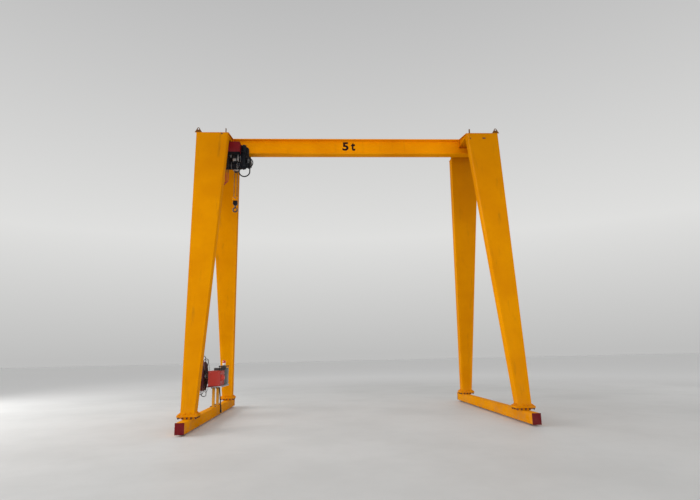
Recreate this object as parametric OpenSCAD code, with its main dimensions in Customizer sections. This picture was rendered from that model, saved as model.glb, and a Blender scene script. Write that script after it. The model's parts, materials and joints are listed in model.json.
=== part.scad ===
// Single-girder gantry crane with a low-headroom wire-rope hoist.
// Row frame: +X along the girder, +Y away from the front, +Z up.
// The origin is on the floor under the middle of the crane.

/* [Crane] */
// Distance between the centre lines of the two sill beams
span = 8000; // [7000:50:9500]
// Height of the leg tops above the floor
leg_top_z = 8100; // [7400:50:8800]
// Length of each sill beam
sill_len = 6600; // [6200:50:7400]

/* [Sill beams] */
// Width of a sill beam
sill_w = 200; // [180:5:240]
// Height of the sill beam's box
sill_h = 245; // [230:5:280]
// Gap between the floor and the underside of a sill beam
sill_gap = 40; // [25:5:50]
// Diameter of a travel wheel over its flanges
wheel_d = 200; // [180:5:220]
// Width of a travel wheel
wheel_w = 90; // [60:5:110]
// Height of a travel wheel's flanges
wheel_flange = 15; // [8:1:20]
// Distance of a wheel's axle from the end of its sill beam
wheel_inset = 240; // [200:10:320]
// Thickness of the red end plates
end_plate_t = 12; // [8:1:20]

/* [Legs] */
// Width of a leg's front face at the foot
leg_w_foot = 320; // [280:10:380]
// Width of a leg's front face at the top
leg_w_top = 900; // [780:10:960]
// Thickness of a leg from front to back
leg_t = 300; // [240:10:340]
// Distance of a leg's outer face from the middle of the crane, at the foot
leg_foot_y = 2680; // [2500:10:2760]
// Distance of a leg's outer face from the middle of the crane, at the top
leg_top_y = 1145; // [1080:5:1250]
// Thickness of the plate that closes a leg's top
cap_t = 12; // [8:1:16]
// Height of the short stub between sill beam and leg
stub_h = 56; // [40:2:90]
// Thickness of each bolted flange at the foot
foot_flange_t = 22; // [16:1:30]
// Width of the bolted flanges across the crane
foot_flange_w = 470; // [430:10:520]
// Depth of the bolted flanges from front to back
foot_flange_d = 400; // [380:10:460]
// Width of a lifting lug on a leg's top
lug_w = 220; // [170:10:240]
// Height of a lifting lug
lug_h = 150; // [110:5:170]
// Diameter of the hole in a lifting lug
lug_hole_d = 50; // [30:2:60]

/* [Girder] */
// Depth of the rolled girder
girder_h = 490; // [450:5:520]
// Width of the girder's flanges
girder_w = 300; // [280:5:320]
// Thickness of the girder's flanges
girder_tf = 23; // [18:1:28]
// Thickness of the girder's web
girder_tw = 12; // [10:1:20]
// Radius where the web runs into the flanges
girder_r = 27; // [15:1:30]
// Height of the girder's top above the leg tops
girder_rise = 240; // [200:5:280]
// Distance of a head bracket's ends from the edges of its leg's top
bracket_inset = 15; // [15:5:60]
// Height of a bracket at its outer end
bracket_toe_h = 100; // [80:5:130]
// Thickness of a bracket's plates
bracket_t = 20; // [12:1:25]

/* [Hoist trolley] */
// Distance of the parked hoist from the sill beam's centre line
park_gap = 520; // [500:10:700]
// Length of the trolley's side plates
trolley_len = 840; // [780:10:880]
// Gap between the girder's flange and each side plate
side_gap = 35; // [25:1:50]
// Thickness of a side plate
side_t = 14; // [10:1:18]
// Diameter of a trolley wheel's tread
trolley_wheel_d = 120; // [100:5:130]
// Distance between the wheels of one side plate
trolley_base = 560; // [500:10:600]
// Running gap between a trolley wheel and the flange
wheel_gap = 0.2; // [0.1:0.1:0.3]
// Depth from the girder's underside to the lower edge of the side plates
hang = 170; // [150:5:200]
// Depth of the frame's end plates
frame_h = 390; // [360:10:420]
// Thickness of the frame's end plates
frame_t = 16; // [10:1:20]

/* [Hoist machinery] */
// Diameter of the rope drum
drum_d = 270; // [220:10:290]
// Spacing of the rope grooves on the drum
drum_pitch = 18; // [14:1:24]
// Diameter of the hoist motor's fan cowl
motor_d = 250; // [220:5:260]
// Thickness of the hoist gearbox along the girder
gearbox_t = 145; // [120:5:160]
// Length of the switchgear cubicle
cubicle_l = 590; // [520:10:590]
// Depth of the cubicle from front to back
cubicle_w = 330; // [280:10:360]
// Height of the cubicle
cubicle_h = 320; // [280:10:330]

/* [Rope and hook] */
// Diameter of the hoist rope
rope_d = 11; // [8:1:14]
// Diameter of the rope's centre line round a sheave
sheave_d = 90; // [86:2:110]
// Height of the hook block's top above the floor
block_top_z = 6487; // [5600:1:6700]
// Height of the hook block's cover
cover_h = 119; // [116:1:150]
// Height of the crosshead under the cover
yoke_h = 146; // [120:2:180]
// Thickness of the hook's round section
shank_d = 42; // [34:1:50]
// Radius of the hook's bend
hook_bend = 62; // [56:1:75]

/* [Equipment] */
// Distance of the equipment stand from the middle of the crane
stand_y = 520; // [300:10:700]
// Outer size of the square posts of the stand
post_w = 70; // [60:5:90]
// Distance between the posts
post_pitch = 600; // [500:10:700]
// Height of the tray's underside above the floor
tray_z = 850; // [780:10:900]
// Width of the control box
box_w = 345; // [300:5:380]
// Length of the control box
box_l = 600; // [560:10:640]
// Height of the control box
box_h = 410; // [360:10:440]
// Height of the relay cabinet
cabinet_h = 480; // [420:10:520]
// Height of the cable reel's axis above the floor
reel_z = 1150; // [1110:10:1200]
// Diameter over the cable reel's arms
reel_d = 1200; // [1100:20:1300]
// Diameter over the wound cable
coil_d = 860; // [500:20:880]
// Distance between the two rods of each reel arm
reel_gap = 140; // [120:5:150]

/* [Hidden] */
$fn = 64;

// Heights that follow from the sizes above
sill_top = sill_gap + sill_h;
foot_z = sill_top + stub_h + 2 * foot_flange_t;
girder_top = leg_top_z + girder_rise;
girder_bottom = girder_top - girder_h;
girder_len = span + leg_w_top;
flange_upper = girder_bottom + girder_tf;

// Leaning of the legs
leg_rise = leg_top_z - cap_t - foot_z;
lean = atan((leg_foot_y - leg_top_y) / (leg_top_z - foot_z));
leg_slant = leg_rise / cos(lean);

// Round tube bent in the XY plane about the origin, from angle a0 to a1 and at most half a turn
module bent_tube(radius, d, a0, a1) {
  far = 3 * radius;
  middle = (a0 + a1) / 2;
  intersection() {
    rotate_extrude()
      translate([radius, 0])
        circle(d = d, $fn = 24);
    translate([0, 0, -d])
      linear_extrude(2 * d)
        polygon([
          [0, 0],
          far * [cos(a0), sin(a0)],
          far * [cos((a0 + middle) / 2), sin((a0 + middle) / 2)],
          far * [cos((a1 + middle) / 2), sin((a1 + middle) / 2)],
          far * [cos(a1), sin(a1)]
        ]);
  }
}

// Flat bar with two round ends of radius r1 and r2, from the origin to [0, reach]
module tapered_link(r1, r2, reach) {
  a = asin((r1 - r2) / reach);
  circle(r = r1);
  translate([0, reach])
    circle(r = r2);
  polygon([
    r1 * [cos(a), sin(a)],
    [r2 * cos(a), reach + r2 * sin(a)],
    [-r2 * cos(a), reach + r2 * sin(a)],
    r1 * [-cos(a), sin(a)]
  ]);
}

// Sill beams, their end plates and wheels

module sill(side) {
  pocket_l = wheel_d + 40;
  translate([side * span / 2, 0, 0]) {
    difference() {
      translate([-sill_w / 2, -sill_len / 2, sill_gap])
        cube([sill_w, sill_len, sill_h]);
      for (end = [-1, 1])
        translate([-wheel_w / 2 - 8, end * (sill_len / 2 - wheel_inset) - pocket_l / 2, sill_gap - 1])
          cube([wheel_w + 16, pocket_l, wheel_d - sill_gap + 30]);
    }
    for (end = [-1, 1])
      translate([0, end * (leg_foot_y - leg_t / 2), sill_top])
        foot_stub();
  }
}

// Stub that stands on the sill beam, with the lower one of the two bolted flanges
module foot_stub() {
  stub_w = leg_w_foot - 60;
  translate([-stub_w / 2, -leg_t / 2, 0])
    cube([stub_w, leg_t, stub_h]);
  translate([-foot_flange_w / 2, -foot_flange_d / 2, stub_h])
    cube([foot_flange_w, foot_flange_d, foot_flange_t]);
  for (side = [-1, 1])
    for (row = [-1, 1])
      translate([side * stub_w / 2, row * leg_t / 3, stub_h])
        rotate([90, 0, 0])
          linear_extrude(foot_flange_t / 2, center = true)
            polygon([[0, 0], [0, -stub_h], [side * (foot_flange_w - stub_w) / 2, 0]]);
}

module end_plate(side, end) {
  rim = 4;
  translate([
    side * span / 2 - sill_w / 2 - rim,
    end > 0 ? sill_len / 2 : -sill_len / 2 - end_plate_t,
    sill_gap - rim
  ])
    cube([sill_w + 2 * rim, end_plate_t, sill_h + 2 * rim]);
}

// A double-flanged wheel with its axle, which fills the width of the pocket
module travel_wheel(side, end) {
  flange_r = wheel_d / 2;
  tread_r = flange_r - wheel_flange;
  flange_t = wheel_w / 8;
  half = wheel_w / 2;
  axle_d = 60;
  translate([side * span / 2, end * (sill_len / 2 - wheel_inset), flange_r])
    rotate([0, 90, 0]) {
      rotate_extrude()
        polygon([
          [0, -half],
          [flange_r, -half],
          [flange_r, -half + flange_t],
          [tread_r, -half + 2 * flange_t],
          [tread_r, half - 2 * flange_t],
          [flange_r, half - flange_t],
          [flange_r, half],
          [0, half]
        ]);
      cylinder(d = axle_d, h = wheel_w + 16, center = true);
    }
}

// Legs

// The leg that stands at -Y, centred on x = 0, from the upper foot flange to its closed top
module front_leg() {
  mid_foot = -(leg_foot_y - leg_t / 2);
  cap_over = 8;
  intersection() {
    translate([0, mid_foot, foot_z])
      rotate([-lean, 0, 0])
        translate([0, -leg_t * cos(lean) / 2, 0])
          rotate([90, 0, 0])
            mirror([0, 0, 1])
              linear_extrude(leg_t * cos(lean))
                leg_outline();
    translate([-leg_w_top, -leg_foot_y - leg_t, foot_z])
      cube([2 * leg_w_top, leg_foot_y + leg_t, leg_rise]);
  }
  translate([-leg_w_top / 2 - cap_over, -leg_top_y - cap_over, leg_top_z - cap_t])
    cube([leg_w_top + 2 * cap_over, leg_t + 2 * cap_over, cap_t]);
  // The lug at the outer edge faces the front, the one at the inner edge is turned across
  translate([leg_w_top / 2 - lug_w / 4, -leg_top_y + lug_t / 2, leg_top_z])
    lug(lug_w);
  translate([-leg_w_top / 2 + 60, -leg_top_y + 46, leg_top_z])
    rotate([0, 0, 90])
      lug(90);
  translate([-foot_flange_w / 2, mid_foot - foot_flange_d / 2, foot_z - foot_flange_t])
    cube([foot_flange_w, foot_flange_d, foot_flange_t]);
  foot_ribs(mid_foot);
}

// Tapered front face, run on past both ends so that the flat cuts find metal
module leg_outline() {
  over = leg_t;
  taper = (leg_w_top - leg_w_foot) / 2 / leg_slant;
  polygon([
    [-leg_w_foot / 2 + taper * over, -over],
    [leg_w_foot / 2 - taper * over, -over],
    [leg_w_top / 2 + taper * over, leg_slant + over],
    [-leg_w_top / 2 - taper * over, leg_slant + over]
  ]);
}

// Lifting lug: an upright plate with sloping flanks, a round head and an eye
lug_t = 16;

module lug(base_w) {
  head_r = lug_hole_d / 2 + 18;
  rotate([90, 0, 0])
    linear_extrude(lug_t, center = true)
      difference() {
        union() {
          translate([0, lug_h - head_r])
            circle(r = head_r);
          polygon([
            [-base_w / 2, 0],
            [base_w / 2, 0],
            [head_r, lug_h - head_r],
            [-head_r, lug_h - head_r]
          ]);
        }
        translate([0, lug_h - head_r])
          circle(d = lug_hole_d);
      }
}

// Triangular ribs that stand on the flange all round the leg
module foot_ribs(mid_foot) {
  root = 4;
  deep_root = 22;
  for (side = [-1, 1]) {
    for (row = [-1, 0, 1])
      translate([side * leg_w_foot / 2, mid_foot + row * (leg_t / 2 - 30), foot_z])
        rotate([0, 0, side < 0 ? 180 : 0])
          foot_rib(root, (foot_flange_w - leg_w_foot) / 2 - root);
    for (row = [-1, 1])
      translate([row * leg_w_foot / 6, mid_foot + side * leg_t / 2, foot_z])
        rotate([0, 0, side * 90])
          foot_rib(deep_root, (foot_flange_d - leg_t) / 2 - root);
  }
}

// One rib in the XZ plane, from depth root inside the leg's face to reach outside it
module foot_rib(root, reach) {
  rib_h = 3 * foot_flange_t;
  rib_t = 12;
  rotate([90, 0, 0])
    linear_extrude(rib_t, center = true)
      polygon([[-root, 0], [reach, 0], [reach, 12], [-root / 2, rib_h], [-root, rib_h]]);
}

module leg(side, end) {
  translate([side * span / 2, 0, 0])
    mirror([side < 0 ? 1 : 0, 0, 0])
      mirror([0, end > 0 ? 1 : 0, 0])
        front_leg();
}

// Girder and the brackets on the leg heads

// Rolled section with parallel flanges and round roots, about its own centre
module girder_profile() {
  clear_h = girder_h - 2 * girder_tf;
  wall = girder_tw / 2;
  difference() {
    square([girder_w, girder_h], center = true);
    for (side = [0, 1])
      mirror([side, 0]) {
        translate([wall + girder_r, -clear_h / 2])
          square([girder_w, clear_h]);
        translate([wall, -clear_h / 2 + girder_r])
          square([girder_w, clear_h - 2 * girder_r]);
        for (end = [-1, 1])
          translate([wall + girder_r, end * (clear_h / 2 - girder_r)])
            circle(r = girder_r);
      }
  }
}

module girder() {
  plate_t = 12;
  translate([-girder_len / 2, 0, girder_top - girder_h / 2])
    rotate([90, 0, 90])
      linear_extrude(girder_len)
        girder_profile();
  for (side = [-1, 1]) {
    translate([side * (girder_len - plate_t) / 2 - plate_t / 2, -girder_w / 2, girder_bottom])
      cube([plate_t, girder_w, girder_h]);
    // Stiffener under the brackets, over the middle of each leg
    translate([side * (span / 2 + 60) - plate_t / 2, -girder_w / 2 + 4, flange_upper])
      cube([plate_t, girder_w - 8, girder_h - girder_tf - girder_rise]);
  }
}

// Bracket that slopes from the girder's top flange down to a leg's flat top:
// a box set back between a sloping top plate and a flat bottom plate, which runs on past the box
module head_bracket(side, end) {
  set_back = 30;
  foot_y = leg_top_y - 95;
  toe_y = foot_y - 130;
  bracket_len = leg_w_top - 2 * bracket_inset;
  cope = girder_r + 2;
  slope_top = [[girder_w / 2, girder_top], [toe_y, leg_top_z + bracket_toe_h]];
  translate([side * span / 2 - bracket_len / 2, 0, 0])
    mirror([0, end < 0 ? 1 : 0, 0])
      rotate([90, 0, 90]) {
        linear_extrude(bracket_len)
          polygon([
            slope_top[0],
            slope_top[1],
            slope_top[1] - [0, bracket_t],
            slope_top[0] - [0, bracket_t]
          ]);
        linear_extrude(bracket_len)
          translate([girder_tw / 2, leg_top_z])
            square([foot_y - girder_tw / 2, bracket_t]);
        linear_extrude(bracket_len)
          translate([toe_y - bracket_t, leg_top_z])
            square([bracket_t, bracket_toe_h]);
        translate([0, 0, set_back])
          linear_extrude(bracket_len - 2 * set_back)
            polygon([
              [girder_tw / 2, leg_top_z],
              [toe_y, leg_top_z],
              slope_top[1],
              slope_top[0],
              [girder_w / 2, girder_top - girder_tf],
              [girder_tw / 2 + cope, girder_top - girder_tf],
              [girder_tw / 2, girder_top - girder_tf - cope]
            ]);
      }
}

// Trolley, from the middle of the girder's underside
trolley_x = -(span / 2 - park_gap);
side_y = girder_w / 2 + side_gap;
frame_x = trolley_len / 2 - 12;
bay = 2 * (frame_x - frame_t);
stop_gap = 30;
run_clear = 6;

// Stops that end the hoist's run, each with a rubber buffer that meets a wheel
module end_stop(side) {
  stop_l = 40;
  plate_h = trolley_wheel_d + 10;
  root = girder_tw / 2 + girder_r + 2;
  stop_x = -trolley_x + trolley_len / 2 + stop_gap;
  buffer_l = stop_gap + trolley_len / 2 - trolley_base / 2 - trolley_wheel_d / 2 - wheel_flange - run_clear;
  mirror([side > 0 ? 0 : 1, 0, 0])
    for (face = [0, 1])
      mirror([0, face, 0]) {
        translate([stop_x, root, flange_upper])
          cube([stop_l, girder_w / 2 - root, plate_h]);
        translate([stop_x - buffer_l, girder_w / 2 - 35, flange_upper + trolley_wheel_d / 2])
          rotate([0, 90, 0])
            cylinder(d1 = 40, d2 = 60, h = buffer_l);
      }
}

// Equipment on the left sill beam

stand_x = -span / 2;
tray_t = 40;
tray_w = box_w + 75;
tray_x = stand_x - 110;
tray_reach = 620;
tray_y = stand_y - tray_reach;
box_x = tray_x + 10;
box_y = tray_y;
box_z = tray_z + tray_t;
cabinet_l = 300;
cabinet_gap = 30;
tray_l = box_l + cabinet_gap + cabinet_l + 90;

// Two posts on base plates under a folded tray, and the conduit that runs down to the sill beam
module equipment_stand() {
  sheet = 6;
  for (row = [-1, 1])
    translate([stand_x, stand_y + row * post_pitch / 2, sill_top]) {
      translate([-post_w / 2, -post_w / 2, 0])
        cube([post_w, post_w, box_z - sheet - sill_top]);
      translate([-sill_w / 2 + 10, -post_w / 2 - 40, 0])
        cube([sill_w - 20, post_w + 80, 12]);
    }
  difference() {
    translate([tray_x, tray_y, tray_z])
      cube([tray_w, tray_l, tray_t]);
    translate([tray_x + sheet, tray_y + sheet, tray_z - 1])
      cube([tray_w - 2 * sheet, tray_l - 2 * sheet, tray_t - sheet + 1]);
  }
  conduit(sheet);
}

// Straight conduit from the tray's top sheet to a small box on the sill beam's side
module conduit(sheet) {
  pipe_d = 34;
  pipe_x = sill_w / 2 + 20;
  top_y = tray_y + box_l - 80;
  shift = 340;
  top = [stand_x + pipe_x, top_y, box_z - sheet - 3];
  foot = [stand_x + pipe_x, top_y + shift, sill_gap + 110];
  run = foot - top;
  translate(top)
    rotate([atan2(-run[1], run[2]), 0, 0])
      cylinder(d = pipe_d, h = norm(run));
  translate([stand_x + sill_w / 2, foot[1] - 50, foot[2] - 75])
    cube([50, 100, 80]);
}

// Box with a raised door on its +X side, a drip lip and cable glands
module enclosure(w, l, h, door_t, lip) {
  rim = 14;
  cube([w - door_t, l, h]);
  translate([w - door_t, rim, rim])
    cube([door_t, l - 2 * rim, h - 2 * rim]);
  translate([-lip / 2, -lip / 2, h - 8])
    cube([w + lip, l + lip, 8]);
}

module control_box() {
  translate([box_x, box_y, box_z])
    enclosure(box_w, box_l, box_h, 8, 12);
}

// Rotary main switch on the control box's door
module switch_boss() {
  ring_d = 190;
  ring_h = 26;
  knob_d = 120;
  knob_h = 34;
  translate([box_x + box_w, box_y + box_l / 3, box_z + box_h / 2 + 10])
    rotate([0, 90, 0]) {
      cylinder(d = ring_d, h = ring_h);
      cylinder(d = knob_d, h = ring_h + knob_h);
      translate([-knob_d / 2 + 6, -14, ring_h + knob_h])
        cube([knob_d - 12, 28, 20]);
    }
}

module relay_cabinet() {
  translate([box_x + 30, box_y + box_l + cabinet_gap, box_z])
    enclosure(box_w + 30, cabinet_l, cabinet_h, 6, 10);
}

// Sounder: a bar on top of the control box with a driver housing and a flared mouth
alarm_y = box_y + 250;
alarm_top = box_z + box_h + 140;

module horn() {
  bar_h = 26;
  bar_z = alarm_top - bar_h;
  translate([box_x, alarm_y, 0]) {
    // Two feet carry the bar
    for (x = [262, 310])
      translate([x, -20, box_z + box_h])
        cube([20, 40, bar_z - box_z - box_h]);
    translate([244, -35, bar_z])
      cube([290, 70, bar_h]);
    translate([410, 0, bar_z - 24])
      rotate([-90, 0, 0]) {
        cylinder(d = 90, h = 80, center = true);
        translate([0, 0, -120])
          cylinder(d1 = 130, d2 = 60, h = 80);
      }
  }
}

beacon_x = box_x + 390;
beacon_d = 84;
beacon_h = 75;

module beacon_base() {
  translate([beacon_x, alarm_y, alarm_top])
    cylinder(d = beacon_d, h = beacon_h);
}

module beacon_lens() {
  wall_h = 36;
  translate([beacon_x, alarm_y, alarm_top + beacon_h]) {
    cylinder(d = beacon_d, h = wall_h);
    translate([0, 0, wall_h])
      intersection() {
        sphere(d = beacon_d);
        translate([-beacon_d / 2, -beacon_d / 2, 0])
          cube([beacon_d, beacon_d, beacon_d]);
      }
  }
}

// Cable reel with its axis along X, turning on a shaft fixed to the control box
reel_hub_d = 150;
reel_hub_l = reel_gap + 30;
reel_bore_d = 60;
reel_boss_t = 120;
reel_x = box_x - reel_boss_t - reel_hub_l / 2 - 6;
reel_y = box_y + 340;
arm_d = 20;
arm_count = 8;

module reel_shaft() {
  flange_t = 16;
  translate([box_x, reel_y, reel_z])
    rotate([0, -90, 0]) {
      cylinder(d = 240, h = flange_t);
      translate([0, 0, flange_t])
        cylinder(d1 = 190, d2 = 130, h = reel_boss_t - flange_t);
      cylinder(d = reel_bore_d, h = reel_boss_t + 6 + reel_hub_l);
    }
}

module cable_reel() {
  bore_clear = 0.16;
  translate([reel_x, reel_y, reel_z])
    rotate([0, 90, 0]) {
      difference() {
        cylinder(d = reel_hub_d, h = reel_hub_l, center = true);
        cylinder(d = reel_bore_d + bore_clear, h = reel_hub_l + 2, center = true);
      }
      for (i = [0 : arm_count - 1])
        rotate([0, 0, i * 360 / arm_count + 11])
          reel_arm();
    }
}

// Two rods joined by a round tip, one on each side of the coil
module reel_arm() {
  root = (reel_hub_d + reel_bore_d) / 4;
  tip_r = reel_gap / 2;
  tip_x = reel_d / 2 - tip_r - arm_d / 2;
  for (face = [-1, 1])
    translate([root, 0, face * tip_r])
      rotate([0, 90, 0])
        cylinder(d = arm_d, h = tip_x - root, $fn = 24);
  translate([tip_x, 0, 0])
    rotate([90, 0, 0])
      bent_tube(tip_r, arm_d, -90, 90);
}

module reel_coil() {
  translate([reel_x, reel_y, reel_z])
    rotate([0, 90, 0])
      difference() {
        cylinder(d = coil_d, h = reel_gap - arm_d, center = true);
        cylinder(d = reel_hub_d, h = reel_gap, center = true);
      }
}

// Hoist trolley, drawn from the middle of the trolley on the girder's underside

module in_trolley() {
  translate([trolley_x, 0, girder_bottom])
    children();
}

plate_top = 190;
axle_nut_d = 55;
axle_nut_t = 16;

// Side plate with cut corners and two flanged wheels, which run on the bottom flange
module trolley_side(end) {
  cut = 60;
  half = trolley_len / 2;
  in_trolley()
    mirror([0, end > 0 ? 1 : 0, 0]) {
      translate([0, -side_y, 0])
        rotate([90, 0, 0])
          linear_extrude(side_t)
            polygon([
              [-half, -hang],
              [half, -hang],
              [half, plate_top - cut],
              [half - cut, plate_top],
              [-half + cut, plate_top],
              [-half, plate_top - cut]
            ]);
      for (row = [-1, 1])
        translate([row * trolley_base / 2, 0, girder_tf + wheel_gap + trolley_wheel_d / 2])
          rotate([90, 0, 0])
            trolley_wheel();
    }
}

// A wheel with its axle along +Z, which starts over the flange and ends outside the side plate
module trolley_wheel() {
  tread_r = trolley_wheel_d / 2;
  from = girder_w / 2 - 50;
  to = girder_w / 2 + 2;
  rim_t = 10;
  rotate_extrude()
    polygon([
      [0, from],
      [tread_r, from],
      [tread_r, to],
      [tread_r + wheel_flange, to],
      [tread_r + wheel_flange, to + rim_t],
      [0, to + rim_t]
    ]);
  translate([0, 0, from])
    cylinder(d = 36, h = side_y + side_t + 4 - from);
  translate([0, 0, side_y + side_t])
    cylinder(d = axle_nut_d, h = axle_nut_t, $fn = 6);
}

// Two end plates, the tubes that join the side plates under the girder, and two tie rods.
// Each end plate slopes up from the motor at the front to the drum, which lies behind the side plate.
drum_flange_r = drum_d / 2 + 18;
drum_y = side_y + side_t + drum_flange_r + 15;
drum_z = -130;
frame_front = -420;
frame_back = drum_y + drum_flange_r + 10;
frame_bottom = -hang - frame_h;

module trolley_frame() {
  tube = 80;
  cut = 90;
  rod_d = 36;
  rod_y = 110;
  rod_z = -hang - 90;
  rise = drum_flange_r + 10;
  in_trolley() {
    for (face = [0, 1])
      mirror([face, 0, 0]) {
        translate([frame_x - frame_t, 0, 0])
          rotate([90, 0, 90])
            linear_extrude(frame_t)
              polygon([
                [frame_front, -hang],
                [side_y + side_t, -hang],
                [side_y + side_t, drum_z + rise],
                [frame_back - cut, drum_z + rise],
                [frame_back, drum_z + rise - cut],
                [frame_back, drum_z - cut],
                [frame_front + cut / 2, frame_bottom],
                [frame_front, frame_bottom + cut / 2]
              ]);
        translate([frame_x - tube, -side_y, -hang])
          cube([tube, 2 * side_y, tube]);
      }
    for (side = [-1, 1])
      translate([-bay / 2, side * rod_y, rod_z])
        rotate([0, 90, 0])
          cylinder(d = rod_d, h = bay, $fn = 32);
  }
}

motor_y = -260;
motor_z = -450;
gearbox_x = 195;

// Drum with a flange at each end and rope grooves between
module rope_drum() {
  r = drum_d / 2;
  flange_r = drum_flange_r;
  flange_t = 12;
  groove = 4;
  smooth = 60;
  turns = floor((bay - 2 * smooth) / drum_pitch);
  start = (bay - turns * drum_pitch) / 2;
  in_trolley()
    translate([-bay / 2, drum_y, drum_z])
      rotate([0, 90, 0])
        rotate_extrude()
          polygon(concat(
            [[0, 0], [flange_r, 0], [flange_r, flange_t], [r, flange_t]],
            [for (i = [0 : turns - 1]) each [
              [r, start + i * drum_pitch],
              [r - groove, start + (i + 0.5) * drum_pitch]
            ]],
            [[r, start + turns * drum_pitch]],
            [[r, bay - flange_t], [flange_r, bay - flange_t], [flange_r, bay], [0, bay]]
          ));
}

// Finned motor with a fan cowl, a terminal box at the front and two straps to the side plate
module hoist_motor() {
  cowl_l = 120;
  core_d = motor_d - 56;
  fin_h = (motor_d - core_d) / 2 - 12;
  fin_t = 6;
  fin_count = 18;
  shield_l = 105;
  length = bay / 2 + gearbox_x;
  box = [86, 110, 110];
  strap_w = 44;
  strap_t = 14;
  strap_root = core_d / 2 - 30;
  strap_rise = 60;
  in_trolley() {
    translate([-bay / 2, motor_y, motor_z])
      rotate([0, 90, 0]) {
        cylinder(d1 = motor_d - 40, d2 = motor_d, h = cowl_l / 4);
        translate([0, 0, cowl_l / 4])
          cylinder(d = motor_d, h = cowl_l * 3 / 4);
        translate([0, 0, cowl_l])
          linear_extrude(length - cowl_l - shield_l) {
            circle(d = core_d);
            for (i = [0 : fin_count - 1])
              rotate((i + 0.5) * 360 / fin_count)
                translate([0, -fin_t / 2])
                  square([core_d / 2 + fin_h, fin_t]);
          }
        translate([0, 0, length - shield_l])
          cylinder(d = motor_d - 16, h = shield_l);
      }
    translate([gearbox_x - 5 - box[0], motor_y - core_d / 2 - box[1] + 12, motor_z - 30 - box[2] / 2])
      cube(box);
    for (x = [-bay / 2 + cowl_l - strap_w - 12, gearbox_x - strap_w - 12])
      translate([x, -side_y - side_t - strap_t, motor_z + strap_root])
        cube([strap_w, strap_t, strap_rise - hang - motor_z - strap_root]);
  }
}

// Gear case: a tapered link of two round ends with a bolted joint flange, and a cover past the end plate
module hoist_gearbox() {
  big_r = 120;
  small_r = 68;
  top_z = 165;
  rim = 12;
  reach = top_z - motor_z;
  cover_d = 180;
  in_trolley() {
    difference() {
      translate([gearbox_x, 0, 0])
        rotate([90, 0, 90])
          translate([motor_y - 8, motor_z]) {
            linear_extrude(gearbox_t)
              tapered_link(big_r - rim, small_r - rim, reach);
            translate([0, 0, gearbox_t * 0.4])
              linear_extrude(gearbox_t * 0.25)
                tapered_link(big_r, small_r, reach);
          }
      // Its back lies flat on the side plate, with a pocket for the nut of the wheel's axle
      translate([gearbox_x - 1, -side_y - side_t, -hang])
        cube([gearbox_t + 2, side_y, plate_top + hang + 100]);
      translate([trolley_base / 2, 1 - side_y - side_t, girder_tf + wheel_gap + trolley_wheel_d / 2])
        rotate([90, 0, 0])
          cylinder(d = axle_nut_d + 12, h = axle_nut_t + 6);
    }
    translate([gearbox_x + gearbox_t, motor_y, motor_z])
      rotate([0, 90, 0])
        cylinder(d = cover_d - 40, h = bay / 2 - gearbox_x - gearbox_t);
    translate([frame_x, motor_y, motor_z])
      rotate([0, 90, 0]) {
        cylinder(d = cover_d, h = 30);
        translate([0, 0, 30])
          cylinder(d1 = cover_d, d2 = cover_d - 60, h = 28);
      }
  }
}

// Switchgear cubicle with a raised door at the front, a drip lip, glands and two arms to the side plate
cubicle_left = -400;
cubicle_bottom = -120;

module hoist_cubicle() {
  front = -600;
  left = cubicle_left;
  bottom = cubicle_bottom;
  door_t = 8;
  rim = 14;
  lip = 4;
  back = front + cubicle_w;
  in_trolley() {
    translate([left, front + door_t, bottom])
      cube([cubicle_l, cubicle_w - door_t, cubicle_h]);
    translate([left + rim, front, bottom + rim])
      cube([cubicle_l - 2 * rim, door_t + 1, cubicle_h - 2 * rim - 8]);
    translate([left - lip, front - lip, bottom + cubicle_h - 6])
      cube([cubicle_l + 2 * lip, cubicle_w + lip, 6]);
    for (x = [left + 110, left + 190, left + 270])
      translate([x, front + cubicle_w / 2 + 60, bottom - 22])
        cylinder(d = 34, h = 23, $fn = 6);
    for (x = [left + 40, left + cubicle_l - 100])
      translate([x, back - 1, -20])
        cube([60, -side_y - side_t - back + 1, 60]);
  }
}

sheave_y = 30;
sheave_w = 20;
beam_z = -510;

// Grooved sheave about +Z, with a rope groove wide enough to let the rope leave it freely
module sheave() {
  groove_w = rope_d + 1;
  groove_r = (sheave_d - rope_d) / 2 - 0.3;
  rim_r = sheave_d / 2 + 7;
  rotate_extrude()
    polygon([
      [0, -sheave_w / 2],
      [rim_r, -sheave_w / 2],
      [rim_r, -groove_w / 2 - 2],
      [rim_r - 3, -groove_w / 2],
      [groove_r, -groove_w / 2],
      [groove_r, groove_w / 2],
      [rim_r - 3, groove_w / 2],
      [rim_r, groove_w / 2 + 2],
      [rim_r, sheave_w / 2],
      [0, sheave_w / 2]
    ]);
}

// Two sheaves on a pin between cheeks, which hang from a pair of flat bars between the end plates
module top_sheaves() {
  cheek_t = 12;
  cheek_y = sheave_y + sheave_w / 2 + 5;
  cheek_r = sheave_d / 2 + 15;
  cheek_w = 2 * cheek_r + 50;
  bar_z = -390;
  bar_h = 60;
  in_trolley() {
    for (face = [0, 1])
      mirror([0, face, 0]) {
        translate([-bay / 2, cheek_y, bar_z])
          cube([bay, cheek_t, bar_h]);
        translate([0, cheek_y + cheek_t, beam_z])
          rotate([90, 0, 0])
            linear_extrude(cheek_t) {
              circle(r = cheek_r);
              polygon([
                [-cheek_r, 0],
                [cheek_r, 0],
                [cheek_w / 2, bar_z + bar_h - beam_z],
                [-cheek_w / 2, bar_z + bar_h - beam_z]
              ]);
            }
      }
    translate([0, 0, beam_z])
      rotate([90, 0, 0]) {
        cylinder(d = 34, h = 2 * (cheek_y + cheek_t) + 20, center = true);
        cylinder(d = 50, h = 2 * sheave_y - sheave_w, center = true);
        for (side = [-1, 1])
          translate([0, 0, side * sheave_y])
            sheave();
      }
  }
}

// Cable loops that the hoist holds at both ends, drawn in planes along the girder

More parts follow.
